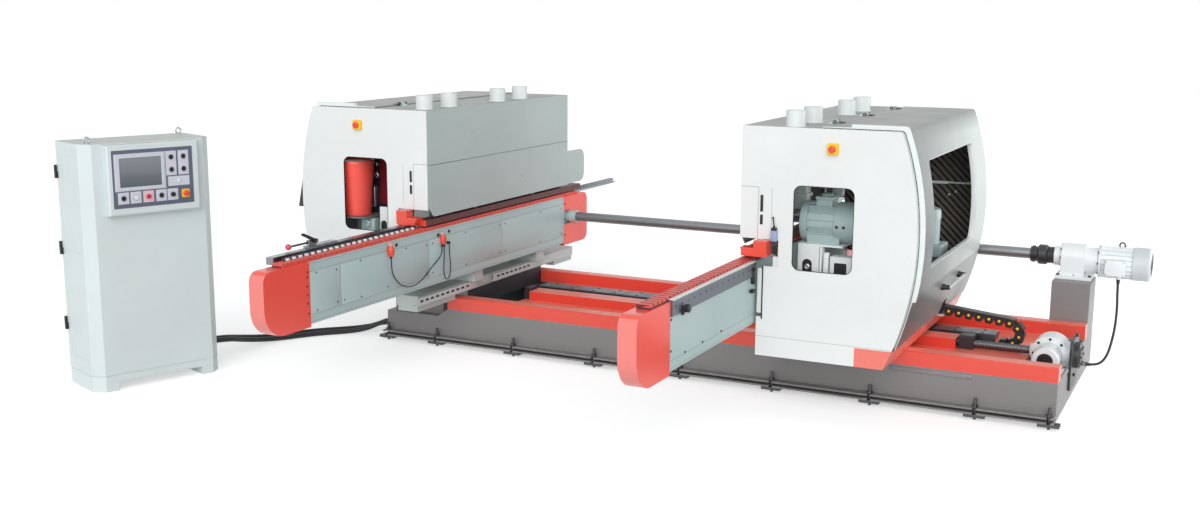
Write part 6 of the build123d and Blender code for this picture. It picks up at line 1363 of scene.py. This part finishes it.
FOAM_CENTRE = (sum(FOAM_OUT) / 2, sum(FOAM_HIGH) / 2)
FOAM_WIDTH = FOAM_OUT[1] - FOAM_OUT[0]
FOAM_HEIGHT = FOAM_HIGH[1] - FOAM_HIGH[0]
REAR_FOAM_ALONG = 0.757
SIDE_FOAM_OUT = 0.014
SIDE_FOAM_CENTRE = (-0.18, 1.345)
SIDE_FOAM_HEIGHT = 0.60
SIDE_FOAM_LENGTH = 1.80
ROUND_CUTS = (-16, -10, -4, 2, 8, 14, 19)
for side in ("left", "right"):
    round_cuts = []
    for angle in ROUND_CUTS:
        lean = radians(angle)
        to_centre = (BELLY_OUT - FOAM_CENTRE[0]) * cos(lean) + (BELLY_HIGH - FOAM_CENTRE[1]) * sin(lean)
        round_cuts.append(((WAY[side] * cos(lean), sin(lean), 0), BELLY_RADIUS - FOAM_CLEAR + to_centre))
    rear_place = (outwards(side, FOAM_CENTRE[0])[0], REAR_FOAM_ALONG, FOAM_CENTRE[1])
    rear_turn = Matrix.Rotation(pi / 2, 4, "X")
    foam(side + "_rear_foam", side, FOAM_WIDTH, FOAM_HEIGHT, rear_place, rear_turn, round_cuts)
    side_place = (outwards(side, SIDE_FOAM_OUT)[0], *SIDE_FOAM_CENTRE)
    side_turn = Matrix.Rotation(WAY[side] * pi / 2, 4, "Y")
    foam(side + "_side_foam", side, SIDE_FOAM_HEIGHT, SIDE_FOAM_LENGTH, side_place, side_turn)
PIN = [(0, 0.004), (0.014, 0.004), (0.015, 0.008), (0.019, 0.006)]
clamp_strip = [
    block("strip", outwards("right", 0.600, 0.955), (0.728, 0.750), (1.176, 1.187), 0.003),
    block("strip", outwards("right", 0.600, 0.760), (0.722, 0.750), (1.170, 1.190), 0.004),
]
for out, high in ((0.772, 1.101), (0.814, 1.121)):
    clamp_strip.append(turned("pin", (outwards("right", out)[0], 0.752, high), (0, -1, 0), PIN, 14))
finished(joined("right_foam_strip", clamp_strip), "right_head", lip_white)


# Air pipe: a thin zinc-plated steel pipe that runs across the foam of the right hood's rear wall, bent
# down at its outer end.
PIPE_OUT = 0.835
PIPE_ALONG = 0.735
PIPE_HIGH = 1.500
PIPE_LENGTH = 0.300
PIPE_BEND = 0.100
PIPE_TURN = radians(80)
pipe_end = Vector((outwards("right", PIPE_OUT)[0], PIPE_ALONG, PIPE_HIGH))
bpy.ops.object.select_all(action="DESELECT")
bpy.ops.mesh.primitive_circle_add(
    vertices=12, radius=0.011, location=middle + pipe_end, rotation=(0, pi / 2, 0))
pipe = bpy.context.object
pipe.name = "right_air_pipe"
bpy.ops.object.transform_apply(location=True, rotation=True, scale=True)
opened()
bpy.ops.mesh.extrude_region_move(TRANSFORM_OT_translate={"value": (-PIPE_LENGTH, 0, 0)})
bpy.ops.mesh.select_all(action="DESELECT")
bpy.ops.object.mode_set(mode="OBJECT")
for point in pipe.data.vertices:
    point.select = point.co.x - middle.x > pipe_end.x - 0.001
bpy.ops.object.mode_set(mode="EDIT")
bend_centre = middle + pipe_end - Vector((0, 0, PIPE_BEND))
bpy.ops.mesh.spin(steps=10, angle=PIPE_TURN, center=bend_centre, axis=(0, 1, 0))
bpy.ops.mesh.select_all(action="SELECT")
bpy.ops.mesh.remove_doubles(threshold=0.0002)
faced_out()
bpy.ops.object.shade_smooth()
finished(pipe, "right_head", zinc)


# Saws: finned flange motors sprayed blue-grey, each with a lidded terminal box, on white columns, and
# steel blades with carbide teeth. Round the right saw stand the posts of its slide, a dust duct with its
# hose, and a profiling unit further back.
SAW_ALONG = {"left": -0.560, "right": -0.880}
SAW_HIGH = 1.116
LEFT_COLUMN_LOW = 0.63
LEFT_COLUMN_FRONT = -0.70
RIGHT_COLUMN_LOW = 0.46
RIGHT_COLUMN_BACK = -0.74
motor_paint = enamel("saw_motor_blue_grey", chart(164, 184, 184), 0.36, 0.002)
column_white = enamel("column_white", chart(228, 233, 232), 0.35, 0.003)
void_black = rubber("unlit_black", chart(22, 23, 24), 0.7)
dress(motor_paint, "left_motor", "right_motor")
dress(ground_steel, "left_cutter", "right_cutter")
DOME = [(0, 0.034), (0.010, 0.034), (0.016, 0.028), (0.018, 0.020)]
BAND = [(0, 0.100), (0, 0.1175), (0.003, 0.119), (0.200, 0.119), (0.203, 0.1175), (0.203, 0.100)]
for side in ("left", "right"):
    y = SAW_ALONG[side]
    way_out = (WAY[side], 0, 0)
    lid = block("lid", outwards(side, 0.373, 0.479), (y - 0.062, y + 0.062), (1.246, 1.266), 0.007, 3)
    dome = turned("dome", (outwards(side, 0.426)[0], y, 1.264), (0, 0, 1), DOME)
    band = turned("band", (outwards(side, 0.500)[0], y, SAW_HIGH), way_out, BAND, 48)
    finished(joined(side + "_saw_motor_trim", [lid, dome, band]), BODY[side], motor_paint)
    bolts = [bolt_ring("ring", (outwards(side, 0.3395)[0], y, SAW_HIGH), way_out, 0.100, 6, 0.9, 0.4)]
    plug_places = [(x, y - 0.119, SAW_HIGH - 0.010) for x in outwards(side, 0.520, 0.560)]
    bolts.append(screws("plugs", (0, -1, 0), plug_places, 1.2))
    finished(joined(side + "_saw_motor_bolts", bolts), BODY[side], dark_bolt)
recoat("right_saddle", column_white,
       lambda place, normal: place.z > RIGHT_COLUMN_LOW and place.y < RIGHT_COLUMN_BACK)
recoat("left_saddle", column_white,
       lambda place, normal: place.z > LEFT_COLUMN_LOW and place.y > LEFT_COLUMN_FRONT)
arch = ring("arch", -1.0015, outwards("right", 0.328, 0.384), (0.700, 0.911), 0.0275, 0, 0.003)
finished(arch, "right_head", void_black)
COLUMN_PIPE = [(0, 0.017), (0.010, 0.017), (0.012, 0.014), (0.012, 0.010), (0.002, 0.010)]
column_end = (outwards("right", 0.358)[0], -1.001, 0.868)
column_pipe = turned("right_column_pipe", column_end, (0, -1, 0), COLUMN_PIPE, 20)
finished(column_pipe, "right_head", zinc)
posts = [
    block("post", outwards("right", 0.450, 0.478), (-0.998, -0.966), (0.452, 0.954), 0.003),
    block("post", outwards("right", 0.486, 0.620), (-0.992, -0.912), (0.452, 0.935), 0.004),
    block("post", outwards("right", 0.428, 0.438), (-0.996, -0.930), (0.452, 0.987), 0.002),
]
finished(joined("right_slide_posts", posts), "right_head", column_white)
recess = ring("right_post_recess", -0.9935, outwards("right", 0.512, 0.584), (0.700, 0.900), 0.006, 0, 0.003)
finished(recess, "right_head", void_black)
duct = [
    block("duct", outwards("right", 0.205, 0.285), (-0.840, -0.750), (1.170, 1.667), 0.004),
    block("duct", outwards("right", 0.195, 0.295), (-0.850, -0.740), (1.240, 1.262), 0.003),
]
finished(joined("right_dust_duct", duct), "right_head", saddle_paint)
HOSE_RADIUS = 0.034
HOSE_PITCH = 0.008
HOSE_RISE = 0.003
ribs = [(0.006 + HOSE_PITCH * step, HOSE_RADIUS + (HOSE_RISE if step % 2 else 0)) for step in range(51)]
hose = turned("right_dust_hose", (outwards("right", 0.455)[0], -0.768, 1.255), (0, 0, 1), [
    (0, HOSE_RADIUS), *ribs, (0.412, HOSE_RADIUS)], 20)
finished(hose, "right_head", saddle_paint)
UNIT_MOTOR = [(0, 0.088), (0.150, 0.088), (0.152, 0.092), (0.200, 0.092), (0.215, 0.084), (0.222, 0.066)]
unit = [
    block("unit", outwards("right", 0.700, 0.860), (0.100, 0.160), (0.392, 0.802), 0.006),
    block("unit", outwards("right", 0.690, 0.902), (-0.010, 0.170), (0.800, 0.880), 0.010, 3),
    turned("unit", (outwards("right", 0.775)[0], 0.080, 0.878), (0, 0, 1), UNIT_MOTOR, 32),
]
finished(joined("right_profile_unit", unit), "right_head", motor_paint)


# Red pail: a moulded plastic pail, tapered, with a rolled rim and two ribs, on its dark shelf inside the
# left window, in front of the red guard plate of the saw, with a grey unit, its clamps and a white bracket.
pail_red = enamel("pail_red", chart(250, 92, 80), 0.3, 0.001)
PAIL_OUT = 0.668
PAIL_ALONG = -0.985
PAIL_LOW = 0.940
SHELF_LOW = 0.63
SHELF_BACK = -0.80
GUARD_ALONG = (-0.796, -0.790)
GUARD_OUT = (0.450, 0.800)
GUARD_LOW = 0.620
GUARD_TOP = 1.345
PAIL = [
    (0, 0.085), (0.003, 0.088), (0.262, 0.1060), (0.262, 0.1105), (0.268, 0.1110), (0.268, 0.1065),
    (0.300, 0.1090), (0.300, 0.1130), (0.306, 0.1135), (0.306, 0.1095), (0.345, 0.1120), (0.345, 0.1170),
    (0.364, 0.1180), (0.368, 0.1155), (0.366, 0.1110), (0.360, 0.1080),
]
pail = turned("left_pail", (outwards("left", PAIL_OUT)[0], PAIL_ALONG, PAIL_LOW), (0, 0, 1), PAIL, 48)
finished(pail, "base", pail_red)
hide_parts("left_canister")
shelf_grey = enamel("shelf_grey", chart(96, 106, 102), 0.45, 0.003)
recoat("left_saddle", shelf_grey, lambda place, normal: place.z > SHELF_LOW and place.y < SHELF_BACK)
guard_red = enamel("guard_red", chart(150, 36, 44), 0.35, 0.002)
guard = [
    block("guard", outwards("left", *GUARD_OUT), GUARD_ALONG, (GUARD_LOW, GUARD_TOP), 0.001),
    block("guard", outwards("left", *GUARD_OUT), (GUARD_ALONG[0], -0.600), (GUARD_LOW, 0.626), 0.001),
    block("guard", outwards("left", 0.798, 0.935), GUARD_ALONG, (0.860, GUARD_TOP), 0.001),
]
finished(joined("left_saw_guard", guard), "base", black_casting)
red_plate = block("left_guard_plate", outwards("left", 0.455, 0.618), (-0.800, -0.795), (0.990, 1.335), 0.002)
finished(red_plate, "base", guard_red)
CLAMP_KNOB = [(0, 0.030), (0.018, 0.030), (0.022, 0.024), (0.040, 0.020), (0.042, 0.014)]
CLAMP_BOSS = [(0, 0.018), (0.022, 0.018), (0.026, 0.013)]
UNIT_BOSS = [(0, 0.028), (0.014, 0.028), (0.018, 0.022), (0.018, 0.012), (0.004, 0.010)]
CLAMP_BACK = -0.795
clamp = [
    block("clamp", outwards("left", 0.632, 0.690), (-0.840, CLAMP_BACK), (0.973, 1.120), 0.012, 4),
    turned("clamp", (outwards("left", 0.650)[0], CLAMP_BACK, 1.190), (0, -1, 0), CLAMP_KNOB, 20),
    turned("clamp", (outwards("left", 0.640)[0], CLAMP_BACK, 1.265), (0, -1, 0), CLAMP_BOSS, 16),
]
finished(joined("left_guard_clamps", clamp), "base", zinc)
shelf_unit = [
    block("unit", outwards("left", 0.505, 0.615), (-1.030, -0.945), (0.620, 0.929), 0.010, 3),
    turned("unit", (outwards("left", 0.560)[0], -1.029, 0.892), (0, -1, 0), UNIT_BOSS, 20),
]
finished(joined("left_shelf_unit", shelf_unit), "base", motor_paint)
bracket = block("left_shelf_bracket", outwards("left", 0.396, 0.464), (-1.022, -1.010), (0.560, 1.010), 0.002)
finished(bracket, "base", column_white)
arch = ring("left_bracket_arch", -1.0245, outwards("left", 0.408, 0.454), (0.700, 0.918), 0.0225, 0, 0.003)
finished(arch, "base", void_black)


# Control cabinet: folded sheet sprayed pale grey with lifting eyes and black hinges, and the operator
# panel: a raised white desk with a dark printed plate, a screen in a pale frame, and a bare pale field
# behind each control.
CABINET_CORNER = (-2.989, -2.636)
CABINET_TURN = radians(69.4)
PLATE_FRONT = -0.063
PLATE_ALONG = (0.152, 0.661)
PLATE_HIGH = (1.125, 1.473)
SCREEN_ALONG = (0.175, 0.475)
SCREEN_HIGH = (1.230, 1.445)
SCREEN_FRAME = 0.020
FIELD_HALF = 0.034
ROW_FIELD_HIGH = (1.150, 1.220)
FIELDS = [((x - FIELD_HALF, x + FIELD_HALF), ROW_FIELD_HIGH) for x in (0.213, 0.290, 0.369, 0.450, 0.524)]
FIELDS += [((x - FIELD_HALF, x + FIELD_HALF), (1.302, 1.450)) for x in (0.522, 0.601)]
FIELDS += [((0.497, 0.636), (1.236, 1.294)), ((0.165, 0.485), (1.226, 1.450))]
RED_FIELD = ((0.335, 0.403), ROW_FIELD_HIGH)
ROW_HIGH = 1.185
KNOBS = [(x, z) for z in (1.414, 1.337) for x in (0.522, 0.601)]
KNOBS += [(x, ROW_HIGH) for x in (0.213, 0.450, 0.290, 0.369, 0.524)]
LAMP = (0.568, 1.267)
STOP = (0.607, ROW_HIGH)
PRINT_THICK = 0.0004


def plate_marks(place, shade):
    """The printed plate: dark with bare pale fields, a pinkish one behind the red button."""
    across = axis(place, "X") - middle.x - CABINET_CORNER[0]
    along = across * cos(CABINET_TURN) + (axis(place, "Y") - middle.y - CABINET_CORNER[1]) * sin(CABINET_TURN)
    high = axis(place, "Z")
    plate = within(along, PLATE_ALONG) * within(high, PLATE_HIGH)
    shade = mixed_colour(plate, shade, chart(92, 99, 116))
    for field in FIELDS:
        shade = mixed_colour(within(along, field[0]) * within(high, field[1]), shade, chart(206, 209, 220))
    return mixed_colour(within(along, RED_FIELD[0]) * within(high, RED_FIELD[1]), shade, chart(232, 190, 198))


def cabinet_place(place):
    """Distances along the cabinet's front, behind it, and up."""
    across = place.x - CABINET_CORNER[0]
    along = place.y - CABINET_CORNER[1]
    return (across * cos(CABINET_TURN) + along * sin(CABINET_TURN),
            along * cos(CABINET_TURN) - across * sin(CABINET_TURN), place.z)


def around(place, spot, reach):
    """Whether a place stands out from the plate, no further than the reach from the spot."""
    along, behind, high = cabinet_place(place)
    return behind < PLATE_FRONT - PRINT_THICK and max(abs(along - spot[0]), abs(high - spot[1])) < reach


def on_screen(place, inset):
    """Whether a place lies in the screen's field, drawn in by the inset."""
    along, behind, high = cabinet_place(place)
    return (behind < PLATE_FRONT + 0.004 and SCREEN_ALONG[0] + inset < along < SCREEN_ALONG[1] - inset
            and SCREEN_HIGH[0] + inset < high < SCREEN_HIGH[1] - inset)


def glass_finish(place):
    """A switched-off screen: dark glass with a painted reflection, paler towards its top."""
    # Painted reflection: the glass grows paler towards its top.
    pale = ramp(axis(place, "Z"), SCREEN_HIGH[0], SCREEN_HIGH[1])
    return {
        "Base Color": mixed_colour(pale, chart(88, 96, 104), chart(128, 136, 142)),
        "Roughness": 0.12 + pale * 0.05,
    }


def on_screen_frame(place, normal):
    """The test for the raised frame round the screen."""
    return cabinet_place(place)[1] < PLATE_FRONT - PRINT_THICK and on_screen(place, -0.001)


CABINET_TOP = 1.4
EYES_LOW = 1.513
cabinet_paint = enamel("cabinet_grey", chart(214, 224, 224), 0.35, 0.002)
top_paint = enamel("cabinet_top", chart(188, 195, 191), 0.42, 0.002)
screen_glass = surface("screen_glass", glass_finish, {"Coat Weight": 0.6})
desk_paint = enamel("desk_white", chart(226, 234, 233), 0.33, 0.002, marks=plate_marks)
frame_pale = enamel("screen_frame", chart(206, 209, 218), 0.35, 0.002)
dress(cabinet_paint, "cabinet_body", "cabinet_door")
dress(desk_paint, "cabinet_panel")
recoat("cabinet_panel", frame_pale, on_screen_frame)
recoat("cabinet_panel", screen_glass, lambda place, normal: on_screen(place, SCREEN_FRAME - 0.001))
recoat("cabinet_panel", zinc, lambda place, normal: any(around(place, spot, 0.024) for spot in KNOBS))
recoat("cabinet_panel", port_white, lambda place, normal: around(place, LAMP, 0.016))
recoat("cabinet_panel", yellow_plastic, lambda place, normal: around(place, STOP, 0.034))
for node in ("cabinet_body", "cabinet_door"):
    recoat(node, black_plastic, lambda place, normal: cabinet_place(place)[0] < -0.0005)
recoat("cabinet_body", top_paint, lambda place, normal: normal.z > FACING_UP and place.z > CABINET_TOP)
recoat("cabinet_body", zinc, lambda place, normal: place.z > EYES_LOW)
dress(black_plastic, *[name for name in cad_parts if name.startswith("selector")], "push_black")
dress(enamel("push_red", chart(206, 40, 66), 0.25, 0.001), "push_red")
dress(stop_red, "cabinet_estop")
dress(port_white, "push_white")


# The two screw patterns have lent their shape and go.
bpy.data.objects.remove(hexagon)
bpy.data.objects.remove(button_head)
